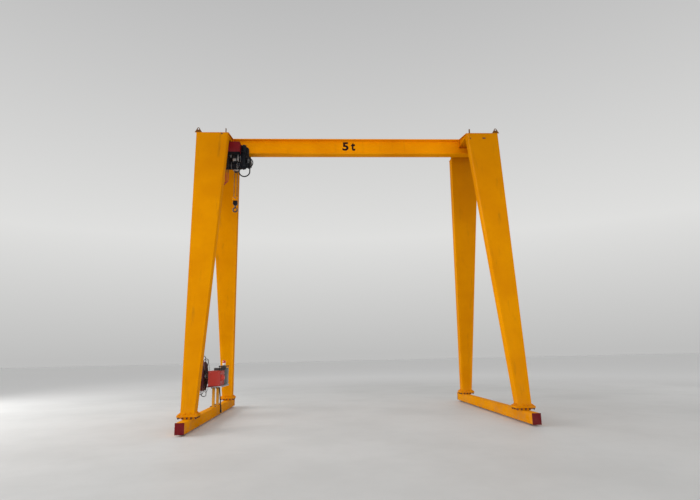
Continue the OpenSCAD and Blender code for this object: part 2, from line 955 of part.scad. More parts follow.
// Black motor lead: down from the terminal box, round below the frame and up into the cubicle
module hoist_cables() {
  lead_d = 36;
  low_r = 160;
  lead_y = motor_y - 172;
  start_x = gearbox_x - 30;
  out_x = start_x + 2 * low_r;
  high_r = out_x - cubicle_left - cubicle_l;
  low_z = -690;
  high_z = low_z + 340;
  hose_d = 28;
  hose_r = 152;
  hose_y = frame_front + 80;
  hose_z = motor_z + 70;
  in_trolley() {
    translate([0, lead_y, 0])
      rotate([90, 0, 0]) {
        translate([start_x, low_z, 0])
          rotate([-90, 0, 0])
            cylinder(d = lead_d, h = motor_z - 85 - low_z, $fn = 24);
        translate([start_x + low_r, low_z, 0])
          bent_tube(low_r, lead_d, 180, 360);
        translate([out_x, low_z, 0])
          rotate([-90, 0, 0])
            cylinder(d = lead_d, h = high_z - low_z, $fn = 24);
        translate([out_x - high_r, high_z, 0])
          bent_tube(high_r, lead_d, 0, 90);
      }
    translate([frame_x, hose_y, hose_z])
      rotate([90, 0, 0])
        bent_tube(hose_r, hose_d, -90, 90);
  }
}

// Dark red supply cable in four slack bights below the cubicle, each one shorter than the last
module supply_loops() {
  cable_d = 20;
  radius = 4 * cable_d;
  bights = 4;
  step = [36, 22, 50];
  first = [cubicle_left + 60, -510, -1115];
  in_trolley()
    for (i = [0 : bights - 1])
      translate(first + i * step)
        rotate([90, 0, 0]) {
          for (side = [-1, 1])
            translate([side * radius, 0, 0])
              rotate([-90, 0, 0])
                cylinder(d = cable_d, h = cubicle_bottom - first[2] - i * step[2], $fn = 24);
          bent_tube(radius, cable_d, 180, 360);
        }
}

// Rope falls, hook block and hook
fall_top = girder_bottom + beam_z;
axle_drop = 60;
block_sheave_z = block_top_z - axle_drop;
cover_l = sheave_d + 68;
cover_w = 2 * (sheave_y + sheave_w / 2) + 40;

module rope_falls() {
  for (i = [-1, 1])
    for (j = [-1, 1])
      translate([trolley_x + i * sheave_d / 2, j * sheave_y, block_sheave_z])
        cylinder(d = rope_d, h = fall_top - block_sheave_z, $fn = 24);
}

// Cover with rounded shoulders, slotted for the two sheaves that turn on a pin through it
module hook_block() {
  shoulder = 26;
  slot_w = sheave_w + 4;
  slot_l = sheave_d + 22;
  pin_d = 34;
  translate([trolley_x, 0, block_top_z]) {
    difference() {
      rotate([90, 0, 0])
        translate([0, 0, -cover_w / 2])
          linear_extrude(cover_w)
            translate([-cover_l / 2, -cover_h]) {
              square([cover_l, cover_h - shoulder]);
              translate([shoulder, 0])
                square([cover_l - 2 * shoulder, cover_h]);
              for (x = [shoulder, cover_l - shoulder])
                translate([x, cover_h - shoulder])
                  circle(r = shoulder);
            }
      for (side = [-1, 1])
        translate([-slot_l / 2, side * sheave_y - slot_w / 2, -axle_drop - sheave_d / 2 - 9])
          cube([slot_l, slot_w, cover_h]);
    }
    translate([0, 0, -axle_drop])
      rotate([90, 0, 0]) {
        cylinder(d = pin_d, h = cover_w + 16, center = true);
        for (side = [-1, 1])
          translate([0, 0, side * sheave_y])
            sheave();
      }
  }
}

// Crosshead with two trunnions, bored for the hook's shank
module hook_yoke() {
  yoke_l = cover_l - 38;
  yoke_w = cover_w - 20;
  cut = 30;
  bore_clear = 0.16;
  translate([trolley_x, 0, block_top_z - cover_h])
    difference() {
      union() {
        rotate([90, 0, 0])
          linear_extrude(yoke_w, center = true)
            polygon([
              [-yoke_l / 2, 0],
              [yoke_l / 2, 0],
              [yoke_l / 2, -yoke_h + cut],
              [yoke_l / 2 - cut, -yoke_h],
              [-yoke_l / 2 + cut, -yoke_h],
              [-yoke_l / 2, -yoke_h + cut]
            ]);
        translate([0, 0, -yoke_h / 2])
          rotate([0, 90, 0])
            cylinder(d = 44, h = yoke_l + 20, center = true);
      }
      translate([0, 0, -yoke_h - 1])
        cylinder(d = shank_d + bore_clear, h = yoke_h + 2);
    }
}

// Round-section hook: a ring with its mouth cut open, a tapered tip, a safety latch and a shank
module hook() {
  mouth_from = 6;
  mouth_to = 72;
  reach = 3 * hook_bend;
  neck = 24;
  tip_l = 36;
  translate([trolley_x, 0, block_top_z - cover_h - yoke_h]) {
    translate([0, 0, -hook_bend - neck])
      cylinder(d = shank_d, h = hook_bend + neck + yoke_h - 6);
    translate([0, 0, -2 * hook_bend - neck + 8])
      rotate([90, 0, 0]) {
        difference() {
          rotate_extrude()
            translate([hook_bend, 0])
              circle(d = shank_d);
          translate([0, 0, -shank_d])
            linear_extrude(2 * shank_d)
              polygon([
                [0, 0],
                reach * [cos(mouth_from), sin(mouth_from)],
                reach * [cos(mouth_to), sin(mouth_to)]
              ]);
        }
        rotate([0, 0, mouth_from])
          translate([hook_bend, -1, 0])
            rotate([-90, 0, 0])
              cylinder(d1 = shank_d - 1, d2 = shank_d / 2, h = tip_l);
        linear_extrude(shank_d / 4, center = true)
          polygon([
            [shank_d / 3, hook_bend + 10],
            [shank_d / 3 + 14, hook_bend + 16],
            [hook_bend - 4, tip_l],
            [hook_bend - 14, tip_l - 10]
          ]);
      }
  }
}

// Each piece is drawn alone by its name, or all together
color("darkorange") sill(-1);  // sill_left
color("darkorange") sill(1);  // sill_right
color("firebrick") end_plate(-1, -1);  // end_plate_left_front
color("firebrick") end_plate(-1, 1);  // end_plate_left_back
color("firebrick") end_plate(1, -1);  // end_plate_right_front
color("firebrick") end_plate(1, 1);  // end_plate_right_back
color("dimgray") travel_wheel(-1, -1);  // wheel_left_front
color("dimgray") travel_wheel(-1, 1);  // wheel_left_back
color("dimgray") travel_wheel(1, -1);  // wheel_right_front
color("dimgray") travel_wheel(1, 1);  // wheel_right_back
color("orange") leg(-1, -1);  // leg_left_front
color("orange") leg(-1, 1);  // leg_left_back
color("orange") leg(1, -1);  // leg_right_front
color("orange") leg(1, 1);  // leg_right_back
color("darkorange") head_bracket(-1, -1);  // head_bracket_left_front
color("darkorange") head_bracket(-1, 1);  // head_bracket_left_back
color("darkorange") head_bracket(1, -1);  // head_bracket_right_front
color("darkorange") head_bracket(1, 1);  // head_bracket_right_back
color("orange") girder();
color("dimgray") end_stop(-1);  // end_stop_left
color("dimgray") end_stop(1);  // end_stop_right
color("goldenrod") equipment_stand();
color("indianred") control_box();
color("red") switch_boss();
color("slategray") relay_cabinet();
color("black") horn();
color("white") beacon_base();
color("red") beacon_lens();
color("dimgray") reel_shaft();
color("dimgray") cable_reel();
color("maroon") reel_coil();
color("black") trolley_side(-1);  // trolley_side_front
color("black") trolley_side(1);  // trolley_side_back
color("black") trolley_frame();
color("dimgray") rope_drum();
color("black") hoist_motor();
color("black") hoist_gearbox();
color("maroon") hoist_cubicle();
color("dimgray") top_sheaves();
color("black") hoist_cables();
color("maroon") supply_loops();
color("gray") rope_falls();
color("gold") hook_block();
color("dimgray") hook_yoke();
color("gray") hook();
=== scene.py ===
"""Looks of a single-girder gantry crane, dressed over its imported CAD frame."""

import json
import math
import random

import bmesh
import bpy
from mathutils import Matrix, Vector


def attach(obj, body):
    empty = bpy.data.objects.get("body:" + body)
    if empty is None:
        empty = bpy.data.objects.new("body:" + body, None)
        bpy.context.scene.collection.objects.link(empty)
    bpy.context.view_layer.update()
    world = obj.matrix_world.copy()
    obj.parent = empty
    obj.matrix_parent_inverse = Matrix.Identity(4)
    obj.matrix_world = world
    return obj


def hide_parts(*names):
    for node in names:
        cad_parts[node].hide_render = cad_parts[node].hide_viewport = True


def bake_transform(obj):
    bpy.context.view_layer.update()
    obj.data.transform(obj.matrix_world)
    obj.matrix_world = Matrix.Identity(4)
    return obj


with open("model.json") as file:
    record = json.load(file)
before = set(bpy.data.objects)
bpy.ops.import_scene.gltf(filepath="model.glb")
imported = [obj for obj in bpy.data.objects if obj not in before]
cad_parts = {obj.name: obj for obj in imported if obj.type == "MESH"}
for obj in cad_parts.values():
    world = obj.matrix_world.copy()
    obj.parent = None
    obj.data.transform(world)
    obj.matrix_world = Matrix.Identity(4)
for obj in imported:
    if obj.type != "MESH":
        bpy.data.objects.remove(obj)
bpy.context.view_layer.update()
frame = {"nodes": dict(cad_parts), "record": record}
nodes = frame["nodes"]
scene = bpy.context.scene
rng = random.Random(7)

SIDES = {"left": -1, "right": 1}
ENDS = {"front": -1, "back": 1}
CORNERS = [(sx, sy) for sx in SIDES.values() for sy in ENDS.values()]

# Sizes and places of the crane's steelwork, in metres
HALF_SPAN = 4.0
SILL_W = 0.2
SILL_TOP = 0.285
END_PLATE_Y = 3.312
STUB_W, STUB_H = 0.26, 0.056
FLANGE_T = 0.022
FOOT_Z = SILL_TOP + STUB_H + 2 * FLANGE_T
LEG_W, LEG_T = 0.32, 0.3
LEG_FOOT_Y, LEG_TOP_Y = 2.68, 1.145
LEG_TOP = 8.1
FOOT_Y = LEG_FOOT_Y - LEG_T / 2
LEAN = (LEG_FOOT_Y - LEG_TOP_Y) / (LEG_TOP - FOOT_Z)
BRACKET_T = 0.02
GIRDER_W = 0.3
GIRDER_Z, GIRDER_TOP = 7.85, 8.34
WEB_FACE = 0.006
STOP_X = 3.93

# Sizes and places on the hoist, from the middle of the girder's underside above it
HOIST_X = -3.48
HANG = 0.17
SIDE_IN, SIDE_OUT = 0.185, 0.199
STRAP_T = 0.014
FRAME_X = 0.408
WHEEL_X, WHEEL_Z = 0.28, 0.0832
ROD_Y, ROD_Z = 0.11, -0.26
DRUM_Y, DRUM_Z, DRUM_R = 0.367, -0.13, 0.135
MOTOR_Y, MOTOR_Z, MOTOR_R = -0.26, -0.45, 0.125
GEAR_X, GEAR_T = 0.195, 0.145
CUBICLE_LEFT, CUBICLE_RIGHT = -0.4, 0.19
CUBICLE_FRONT, CUBICLE_LOW, CUBICLE_TOP = -0.6, -0.12, 0.2
DOOR_RIM, LIP_H = 0.014, 0.008
SHEAVE_R, SHEAVE_Y, SHEAVE_Z = 0.045, 0.03, -0.51
ROPE_R = 0.0055

# Sizes and places on the hook block
BLOCK_TOP = 6.487
AXLE_DROP = 0.06
COVER_H, YOKE_H = 0.119, 0.146
COVER_HALF, PIN_END = 0.06, 0.076

# Sizes and places of the equipment on the left sill beam
STAND_Y, POST_PITCH = 0.52, 0.6
TRAY_Z = 0.85
BOX = (-4.1, -0.1, 0.89)
BOX_W = 0.345
REEL = Vector((-4.311, 0.24, 1.15))
HUB_R, HUB_HALF = 0.075, 0.085


def hoist(x, y, z):
    """A point of the hoist trolley, given from the middle of the girder's underside above it."""
    return Vector((HOIST_X + x, y, GIRDER_Z + z))


# Camera and stage
def make_camera():
    """The photograph's view: 1.7 m up, 15.2 m in front, turned 3.3 degrees and tipped 11.5 degrees up."""
    eye = Vector((-0.8589, -15.2496, 1.7))
    yaw, pitch, roll = 0.0570, 0.2001, -0.0208
    focal_px, width_px, sensor_mm = 512.03, 700, 36
    side = Vector((math.cos(yaw), -math.sin(yaw), 0))
    level = Vector((math.sin(yaw), math.cos(yaw), 0))
    upright = Vector((0, 0, 1))
    ahead = math.cos(pitch) * level + math.sin(pitch) * upright
    crown = -math.sin(pitch) * level + math.cos(pitch) * upright
    right = math.cos(roll) * side + math.sin(roll) * crown
    up = -math.sin(roll) * side + math.cos(roll) * crown
    data = bpy.data.cameras.new("camera")
    data.sensor_width = sensor_mm
    data.lens = focal_px / width_px * sensor_mm
    data.clip_end = 400
    cam = bpy.data.objects.new("camera", data)
    m = Matrix((right, up, -ahead)).transposed().to_4x4()
    m.translation = eye
    cam.matrix_world = m
    scene.collection.objects.link(cam)
    scene.camera = cam


def area_light(name, place, target, size, power):
    """Soft rectangular lamp at place that faces target."""
    data = bpy.data.lights.new(name, "AREA")
    data.shape = "RECTANGLE"
    data.size, data.size_y = size
    data.energy = power
    lamp = bpy.data.objects.new(name, data)
    lamp.location = place
    lamp.rotation_euler = (Vector(target) - Vector(place)).to_track_quat("-Z", "Y").to_euler()
    scene.collection.objects.link(lamp)


def make_surround():
    """A pale surround, brightest a little above the horizon."""
    world = bpy.data.worlds.new("surround")
    world.use_nodes = True
    t = world.node_tree
    back = t.nodes["Background"]
    spot = t.nodes.new("ShaderNodeTexCoord")
    split = t.nodes.new("ShaderNodeSeparateXYZ")
    ramp = t.nodes.new("ShaderNodeValToRGB")
    low, high = ramp.color_ramp.elements
    low.position, low.color = 0.0, (0.52, 0.52, 0.515, 1)
    high.position, high.color = 0.75, (0.42, 0.42, 0.425, 1)
    ramp.color_ramp.elements.new(0.22).color = (0.74, 0.74, 0.73, 1)
    t.links.new(spot.outputs["Generated"], split.inputs[0])
    t.links.new(split.outputs["Z"], ramp.inputs[0])
    t.links.new(ramp.outputs[0], back.inputs["Color"])
    back.inputs["Strength"].default_value = 1.0
    scene.world = world


def make_stage():
    """A wide pale floor in its surround, and large soft lamps."""
    make_surround()
    bm = bmesh.new()
    bmesh.ops.create_grid(bm, x_segments=24, y_segments=24, size=120)
    mesh = bpy.data.meshes.new("floor")
    bm.to_mesh(mesh)
    bm.free()
    floor = bpy.data.objects.new("floor", mesh)
    scene.collection.objects.link(floor)
    floor.data.materials.append(concrete())
    area_light("roof_light", (0, 2, 17), (0, 0, 3), (16, 22), 700)
    area_light("window_left", (-18, -1, 7), (-1, 0, 7.5), (16, 8), 2700)
    area_light("front_fill", (2, -26, 5), (0, 0, 4.5), (24, 7), 1720)
    area_light("right_fill", (16, 3, 6), (2, 0, 4), (12, 8), 110)


# Materials
class Tree:
    """Short names for building one material's node tree."""

    def __init__(self, name):
        self.mat = bpy.data.materials.new(name)
        self.mat.use_nodes = True
        self.t = self.mat.node_tree
        self.shader = self.t.nodes["Principled BSDF"]
        self.coord = self.t.nodes.new("ShaderNodeTexCoord").outputs["Object"]

    def node(self, kind, **values):
        n = self.t.nodes.new(kind)
        for k, v in values.items():
            setattr(n, k, v)
        return n

    def feed(self, socket, value):
        """Gives an input a number, a colour as a tuple, or another node's output."""
        if isinstance(value, (int, float)):
            socket.default_value = value
        elif isinstance(value, tuple):
            socket.default_value = (*value[:3], 1)
        else:
            self.t.links.new(value, socket)

    def shade(self, name, value):
        self.feed(self.shader.inputs[name], value)

    def stretched(self, scale):
        m = self.node("ShaderNodeMapping")
        self.feed(m.inputs["Vector"], self.coord)
        m.inputs["Scale"].default_value = scale
        return m.outputs["Vector"]

    def noise(self, scale, detail=3.0, rough=0.55, vector=None, seed=0.0):
        n = self.node("ShaderNodeTexNoise", noise_dimensions="4D")
        self.feed(n.inputs["Vector"], vector or self.coord)
        n.inputs["W"].default_value = seed
        n.inputs["Scale"].default_value = scale
        n.inputs["Detail"].default_value = detail
        n.inputs["Roughness"].default_value = rough
        return n.outputs["Fac"]

    def band(self, value, low, high, to_low=0.0, to_high=1.0):
        """value from low to high becomes to_low to to_high, held at both ends."""
        n = self.node("ShaderNodeMapRange", clamp=True, interpolation_type="SMOOTHSTEP")
        self.feed(n.inputs["Value"], value)
        ends = {"From Min": low, "From Max": high, "To Min": to_low, "To Max": to_high}
        for key, v in ends.items():
            n.inputs[key].default_value = v
        return n.outputs["Result"]

    def math(self, op, a, b):
        n = self.node("ShaderNodeMath", operation=op)
        self.feed(n.inputs[0], a)
        self.feed(n.inputs[1], b)
        return n.outputs[0]

    def mix(self, fac, a, b):
        """Colour a to colour b by fac; each is a number, a tuple or a socket."""
        n = self.node("ShaderNodeMix", data_type="RGBA")
        # Inputs 6 and 7 are the pair for colours
        for i, value in ((0, fac), (6, a), (7, b)):
            self.feed(n.inputs[i], value)
        return n.outputs[2]

    def bump(self, height, strength, distance, under=None):
        n = self.node("ShaderNodeBump")
        self.feed(n.inputs["Height"], height)
        n.inputs["Strength"].default_value = strength
        n.inputs["Distance"].default_value = distance
        if under is not None:
            self.feed(n.inputs["Normal"], under)
        return n.outputs["Normal"]

    def edges(self, radius):
        """1 where the surface turns sharply within radius, 0 on flats."""
        b = self.node("ShaderNodeBevel", samples=4)
        b.inputs["Radius"].default_value = radius
        g = self.node("ShaderNodeNewGeometry")
        d = self.node("ShaderNodeVectorMath", operation="DOT_PRODUCT")
        self.feed(d.inputs[0], b.outputs["Normal"])
        self.feed(d.inputs[1], g.outputs["Normal"])
        return self.band(d.outputs["Value"], 0.995, 0.93)

    def height(self):
        s = self.node("ShaderNodeSeparateXYZ")
        self.feed(s.inputs[0], self.coord)
        return s.outputs["Z"]


GRIME = (0.11, 0.055, 0.015)
FLOOR_DUST = (0.30, 0.24, 0.17)
FINE_DUST = (0.34, 0.31, 0.28)
# Painted shade towards the crane's heads: its colour, and the heights over which it comes in
HEAD_SHADE = (0.26, 0.075, 0.0)
HEAD_SHADE_HEIGHTS = (5.2, 8.0)
PRIMER = (0.14, 0.09, 0.06)
RUST = (0.16, 0.06, 0.025)
# Painted shade that turns the supply loops black towards their tops
LOOP_SHADE = (0.010, 0.009, 0.010)


def paint(name, base, deep, grime=GRIME, grime_amount=0.35, dust_top=0.7, dust_amount=0.4, coat=0.0,
          spec=0.1, head_shade=0.0):
    """Sprayed enamel: slow tone changes, runs of grime, floor dust, scuffs, chipped edges, orange peel.

    dust_top is the height at which the floor's dust ends, or 0 for none. The last argument is painted
    shade: how much the paint darkens towards the crane's heads, which get less light.
    """
    m = Tree(name)
    tone = m.band(m.noise(0.9, 4.0, seed=1.0), 0.35, 0.68)
    colour = m.mix(tone, base, deep)
    mottle = m.band(m.noise(9.0, 5.0, 0.6, seed=2.0), 0.42, 0.75, 0.0, 0.30)
    colour = m.mix(mottle, colour, deep)
    streak = m.noise(1.0, 5.0, 0.6, m.stretched((7.0, 7.0, 0.45)), seed=3.0)
    run = m.band(streak, 0.56, 0.80, 0.0, grime_amount)
    colour = m.mix(run, colour, grime)
    rough = m.band(m.noise(3.5, 4.0, seed=7.0), 0.3, 0.7, 0.36, 0.52)
    rough = m.math("ADD", rough, m.math("MULTIPLY", run, 0.25))
    if dust_top:
        low = m.band(m.height(), dust_top, 0.05)
        cloud = m.band(m.noise(5.0, 6.0, 0.65, seed=4.0), 0.42, 0.75, 0.0, dust_amount)
        dust = m.math("MULTIPLY", low, cloud)
        colour = m.mix(dust, colour, FLOOR_DUST)
        rough = m.math("ADD", rough, m.math("MULTIPLY", dust, 0.45))
    # Painted shade: the paint darkens towards the crane's heads, which get less light
    if head_shade:
        high = m.band(m.height(), *HEAD_SHADE_HEIGHTS, 0.0, head_shade)
        colour = m.mix(high, colour, HEAD_SHADE)
    spots = m.band(m.noise(34.0, 3.0, 0.7, seed=5.0), 0.70, 0.76, 0.0, 0.5)
    colour = m.mix(spots, colour, grime)
    scratch = m.noise(1.0, 3.0, 0.5, m.stretched((3.0, 3.0, 60.0)), seed=10.0)
    scuff = m.band(scratch, 0.74, 0.80, 0.0, 0.35)
    colour = m.mix(scuff, colour, grime)
    wear = m.band(m.noise(26.0, 4.0, seed=6.0), 0.50, 0.60, 0.0, 0.6)
    chips = m.math("MULTIPLY", m.edges(0.004), wear)
    colour = m.mix(chips, colour, PRIMER)
    m.shade("Base Color", colour)
    m.shade("Roughness", rough)
    m.shade("Specular IOR Level", spec)
    m.shade("Coat Weight", coat)
    m.shade("Coat Roughness", 0.2)
    wave = m.bump(m.noise(1.6, 2.0, seed=8.0), 0.25, 0.02)
    peel = m.bump(m.noise(170.0, 2.0, seed=9.0), 0.12, 0.0006, wave)
    m.shade("Normal", m.bump(chips, 0.4, -0.0008, peel))
    return m.mat


def metal(name, base, dark, rough=(0.30, 0.55), rust=0.25, grain=60.0, metallic=0.85):
    """Bare or oiled steel with fine scratches, dull patches and a little rust."""
    m = Tree(name)
    patch = m.band(m.noise(6.0, 5.0, 0.6, seed=1.0), 0.35, 0.65)
    colour = m.mix(patch, base, dark)
    scratch = m.noise(grain, 4.0, 0.7, seed=2.0)
    bright = tuple(min(1, 1.5 * c) for c in base)
    colour = m.mix(m.band(scratch, 0.45, 0.75, 0.0, 0.45), colour, bright)
    rusty = m.band(m.noise(14.0, 6.0, 0.65, seed=3.0), 0.60, 0.72, 0.0, rust)
    colour = m.mix(rusty, colour, RUST)
    m.shade("Base Color", colour)
    m.shade("Metallic", metallic)
    dull = m.band(scratch, 0.3, 0.7, *rough)
    m.shade("Roughness", m.math("ADD", dull, m.math("MULTIPLY", rusty, 0.8)))
    rub = m.bump(scratch, 0.2, 0.0006)
    m.shade("Normal", m.bump(rusty, 0.3, 0.0015, rub))
    return m.mat


def plastic(name, base, faded, rough=(0.35, 0.55), clear=0.0, dusty=0.22, shade_above=None, spec=0.5):
    """Moulded plastic or rubber: fine grain, faded patches and dust; given two heights, painted shade turns
    it black above them.
    """
    m = Tree(name)
    fade = m.band(m.noise(12.0, 4.0, seed=1.0), 0.40, 0.72, 0.0, 0.8)
    colour = m.mix(fade, base, faded)
    # Painted shade: black above the given heights
    if shade_above:
        wave = m.math("MULTIPLY", m.noise(3.0, 2.0, seed=5.0), 0.1)
        above = m.band(m.math("ADD", m.height(), wave), *shade_above)
        colour = m.mix(above, colour, LOOP_SHADE)
    dust = m.band(m.noise(45.0, 4.0, 0.7, seed=2.0), 0.55, 0.75, 0.0, dusty)
    colour = m.mix(dust, colour, FINE_DUST)
    m.shade("Base Color", colour)
    dull = m.band(m.noise(20.0, 4.0, seed=3.0), 0.3, 0.7, *rough)
    m.shade("Roughness", m.math("ADD", dull, m.math("MULTIPLY", dust, 0.8)))
    m.shade("Specular IOR Level", spec)
    if clear:
        m.shade("Coat Weight", clear)
        m.shade("Coat Roughness", 0.08)
    m.shade("Normal", m.bump(m.noise(220.0, 3.0, seed=4.0), 0.15, 0.0005))
    return m.mat


def concrete():
    """Pale floor with soft stains, and painted light that whitens it away from the crane, where the lamps
    reach less.
    """
    m = Tree("floor_concrete")
    wide = m.band(m.noise(0.35, 5.0, 0.6, seed=1.0), 0.35, 0.7)
    colour = m.mix(wide, (0.60, 0.60, 0.59), (0.54, 0.54, 0.53))
    near = m.band(m.noise(3.0, 6.0, 0.65, seed=2.0), 0.45, 0.8, 0.0, 0.25)
    colour = m.mix(near, colour, (0.50, 0.50, 0.49))
    # Painted light: the floor whitens away from the crane, so that its far part, which the lamps barely
    # reach, reads bright
    away = m.node("ShaderNodeVectorMath", operation="LENGTH")
    m.feed(away.inputs[0], m.coord)
    colour = m.mix(m.band(away.outputs["Value"], 8.0, 26.0), colour, (0.92, 0.92, 0.91))
    m.shade("Base Color", colour)
    m.shade("Roughness", 0.62)
    m.shade("Normal", m.bump(m.noise(30.0, 4.0, seed=3.0), 0.1, 0.002))
    return m.mat


MATS = {
    # The crane's yellow, with painted shade towards its heads
    "yellow_paint": paint("yellow_enamel", (0.76, 0.285, 0.0), (0.68, 0.236, 0.0), dust_amount=0.25,
                          spec=0.0, coat=0.05, head_shade=0.28),
    "stand_paint": paint("stand_enamel", (0.66, 0.30, 0.02), (0.52, 0.22, 0.012), grime_amount=0.6,
                         dust_top=1.4),
    "red_paint": paint("box_enamel", (0.50, 0.045, 0.030), (0.42, 0.034, 0.024), dust_top=0.0, spec=0.3),
    "dark_red_paint": paint("plate_enamel", (0.175, 0.008, 0.012), (0.13, 0.006, 0.010), dust_top=0.4,
                            dust_amount=0.1, grime=(0.05, 0.02, 0.015), spec=0.08),
    "grey_paint": paint("cabinet_enamel", (0.13, 0.15, 0.15), (0.09, 0.105, 0.105), dust_top=0.0,
                        grime=(0.05, 0.045, 0.04), spec=0.3),
    "black_paint": paint("hoist_enamel", (0.004, 0.005, 0.008), (0.008, 0.010, 0.015), dust_top=0.0,
                         grime=(0.03, 0.026, 0.024), grime_amount=0.16, spec=0.13),
    "bare_steel": metal("bright_steel", (0.34, 0.34, 0.34), (0.20, 0.20, 0.20)),
    "rope_steel": metal("rope_wire", (0.22, 0.145, 0.07), (0.10, 0.062, 0.03), rough=(0.45, 0.7),
                        rust=0.3, grain=300.0, metallic=0.5),
    "hook_steel": metal("forged_steel", (0.11, 0.10, 0.095), (0.035, 0.033, 0.032), rough=(0.35, 0.6),
                        rust=0.5),
    "wheel_steel": metal("wheel_steel", (0.16, 0.15, 0.14), (0.08, 0.07, 0.065), rough=(0.35, 0.6),
                         rust=0.5),
    "red_plastic": plastic("knob_plastic", (0.68, 0.050, 0.026), (0.60, 0.06, 0.035), clear=0.3),
    "black_plastic": plastic("horn_plastic", (0.008, 0.008, 0.009), (0.016, 0.016, 0.017), dusty=0.06),
    "white_plastic": plastic("beacon_plastic", (0.72, 0.70, 0.66), (0.60, 0.57, 0.50)),
    "red_lens": plastic("lens_plastic", (0.50, 0.010, 0.008), (0.42, 0.015, 0.012), rough=(0.08, 0.2),
                        clear=0.8),
    "red_rubber": plastic("cable_rubber", (0.090, 0.007, 0.015), (0.17, 0.026, 0.044), rough=(0.35, 0.6),
                          dusty=0.16),
}
# Finishes that have no slot of their own in the record
ZINC = metal("zinc_plate", (0.42, 0.42, 0.42), (0.28, 0.28, 0.28), rough=(0.4, 0.55), rust=0.08)
# The loops' rubber, with painted shade that turns it black above 7.13 to 7.19 m
LOOP = plastic("loop_rubber", (0.30, 0.008, 0.006), (0.34, 0.015, 0.012), rough=(0.5, 0.7), dusty=0.0,
               shade_above=(7.13, 7.19))
ARM = metal("arm_steel", (0.045, 0.026, 0.026), (0.022, 0.013, 0.013), rough=(0.45, 0.7), rust=0.5,
            metallic=0.3)
# Painted shade: a darker copy of the crane's yellow for the lugs on the leg heads
SHADED_LUG = paint("lug_shade_enamel", (0.20, 0.075, 0.006), (0.10, 0.036, 0.008), grime_amount=0.7, dust_top=0.0)
DARK_BOLT = metal("bolt_steel", (0.13, 0.045, 0.022), (0.07, 0.025, 0.015), rough=(0.45, 0.7), rust=0.6,
                  metallic=0.3)
# Painted light: a brighter copy of the crane's yellow for the girder, standing in for the stronger light on
# it
GIRDER = paint("girder_lit_enamel", (0.87, 0.326, 0.0), (0.78, 0.272, 0.0), grime_amount=0.16, dust_top=0.0,
               spec=0.0, coat=0.05)
MARK = paint("mark_paint", (0.016, 0.003, 0.004), (0.024, 0.006, 0.007), grime_amount=0.15, dust_top=0.0)
LEAD = plastic("lead_rubber", (0.004, 0.004, 0.005), (0.008, 0.008, 0.009), rough=(0.6, 0.8), dusty=0.0,
               spec=0.12)
GUIDE = plastic("guide_plastic", (0.62, 0.33, 0.02), (0.50, 0.26, 0.03))


# Shapes
def aim(place, axis, turn=0.0):
    """Matrix that puts local +Z along axis at place."""
    spin = Matrix.Rotation(turn, 4, "Z")
    return Matrix.Translation(place) @ Vector(axis).to_track_quat("Z", "X").to_matrix().to_4x4() @ spin


def around(count, radius, shift=0.0):
    """Points spaced evenly round a circle, as pairs; shift turns them by that part of a step."""
    for k in range(count):
        a = 2 * math.pi * (k + shift) / count
        yield radius * math.cos(a), radius * math.sin(a)


def join(bm, lo, hi):
    """Faces between two rings of vertices, either of which may be a single vertex."""
    seg = max(len(lo), len(hi))
    for i in range(seg):
        j = (i + 1) % seg
        lower = [lo[i], lo[j]] if len(lo) > 1 else lo
        upper = [hi[j], hi[i]] if len(hi) > 1 else hi
        bm.faces.new(lower + upper)


def lathe(bm, outline, place, axis=(0, 0, 1), seg=24, turn=0.0, hollow=False):
    """Turned solid from an outline of (radius, height), which is closed on the axis.

    A hollow one is closed on itself, as a ring.
    """
    if hollow:
        outline = [*outline, outline[0]]
    else:
        outline = [(0, outline[0][1]), *outline, (0, outline[-1][1])]
    m = aim(place, axis, turn)
    rings = []
    for r, h in outline:
        spots = around(seg, r) if r else [(0, 0)]
        rings.append([bm.verts.new(m @ Vector((x, y, h))) for x, y in spots])
    for lo, hi in zip(rings, rings[1:]):
        join(bm, lo, hi)


def collar(bm, inner, outer, thick, place, axis=(1, 0, 0), seg=64):
    """Flat ring that reaches thick along axis from place."""
    lathe(bm, [(inner, 0), (outer, 0), (outer, thick), (inner, thick)], place, axis, seg, hollow=True)


def bolt(bm, place, axis, af=0.036, h=0.015, stud=0.0):
    """Washer and chamfered hexagon, af wide over its flats, with an optional stud end beyond it."""
    r = af / 2
    washer_t = af / 9
    way = Vector(axis).normalized()
    lathe(bm, [(r * 1.25, -0.001), (r * 1.25, af / 12), (r * 1.2, washer_t)], place, axis, 20)
    turn = rng.uniform(0, math.pi / 3)
    base = Vector(place) + way * washer_t
    corner_r = r * 1.155
    lathe(bm, [(corner_r, -0.001), (corner_r, h * 0.82), (corner_r * 0.88, h)], base, axis, 6, turn)
    if stud:
        stud_r = af / 3
        lathe(bm, [(stud_r, -0.002), (stud_r, stud * 0.8), (stud_r * 0.8, stud)], base + way * h, axis, 12)


def turn_lock(bm, place, axis, r, edge, root=0.001, seg=20):
    """Round quarter-turn lock with a chamfer edge wide, sunk by root."""
    lathe(bm, [(r, -root), (r, 0.004), (r - edge, 0.007)], place, axis, seg)


def block(bm, one, other, round_by=0.002):
    """Box between two opposite corners with rounded edges."""
    spans = list(zip(one, other))
    lo, hi = Vector([min(s) for s in spans]), Vector([max(s) for s in spans])
    matrix = Matrix.Translation((lo + hi) / 2) @ Matrix.Diagonal((*(hi - lo), 1))
    new = bmesh.ops.create_cube(bm, size=1, matrix=matrix)
    edges = list({e for v in new["verts"] for e in v.link_edges})
    bmesh.ops.bevel(bm, geom=edges, offset=round_by, segments=2, affect="EDGES", profile=0.7)


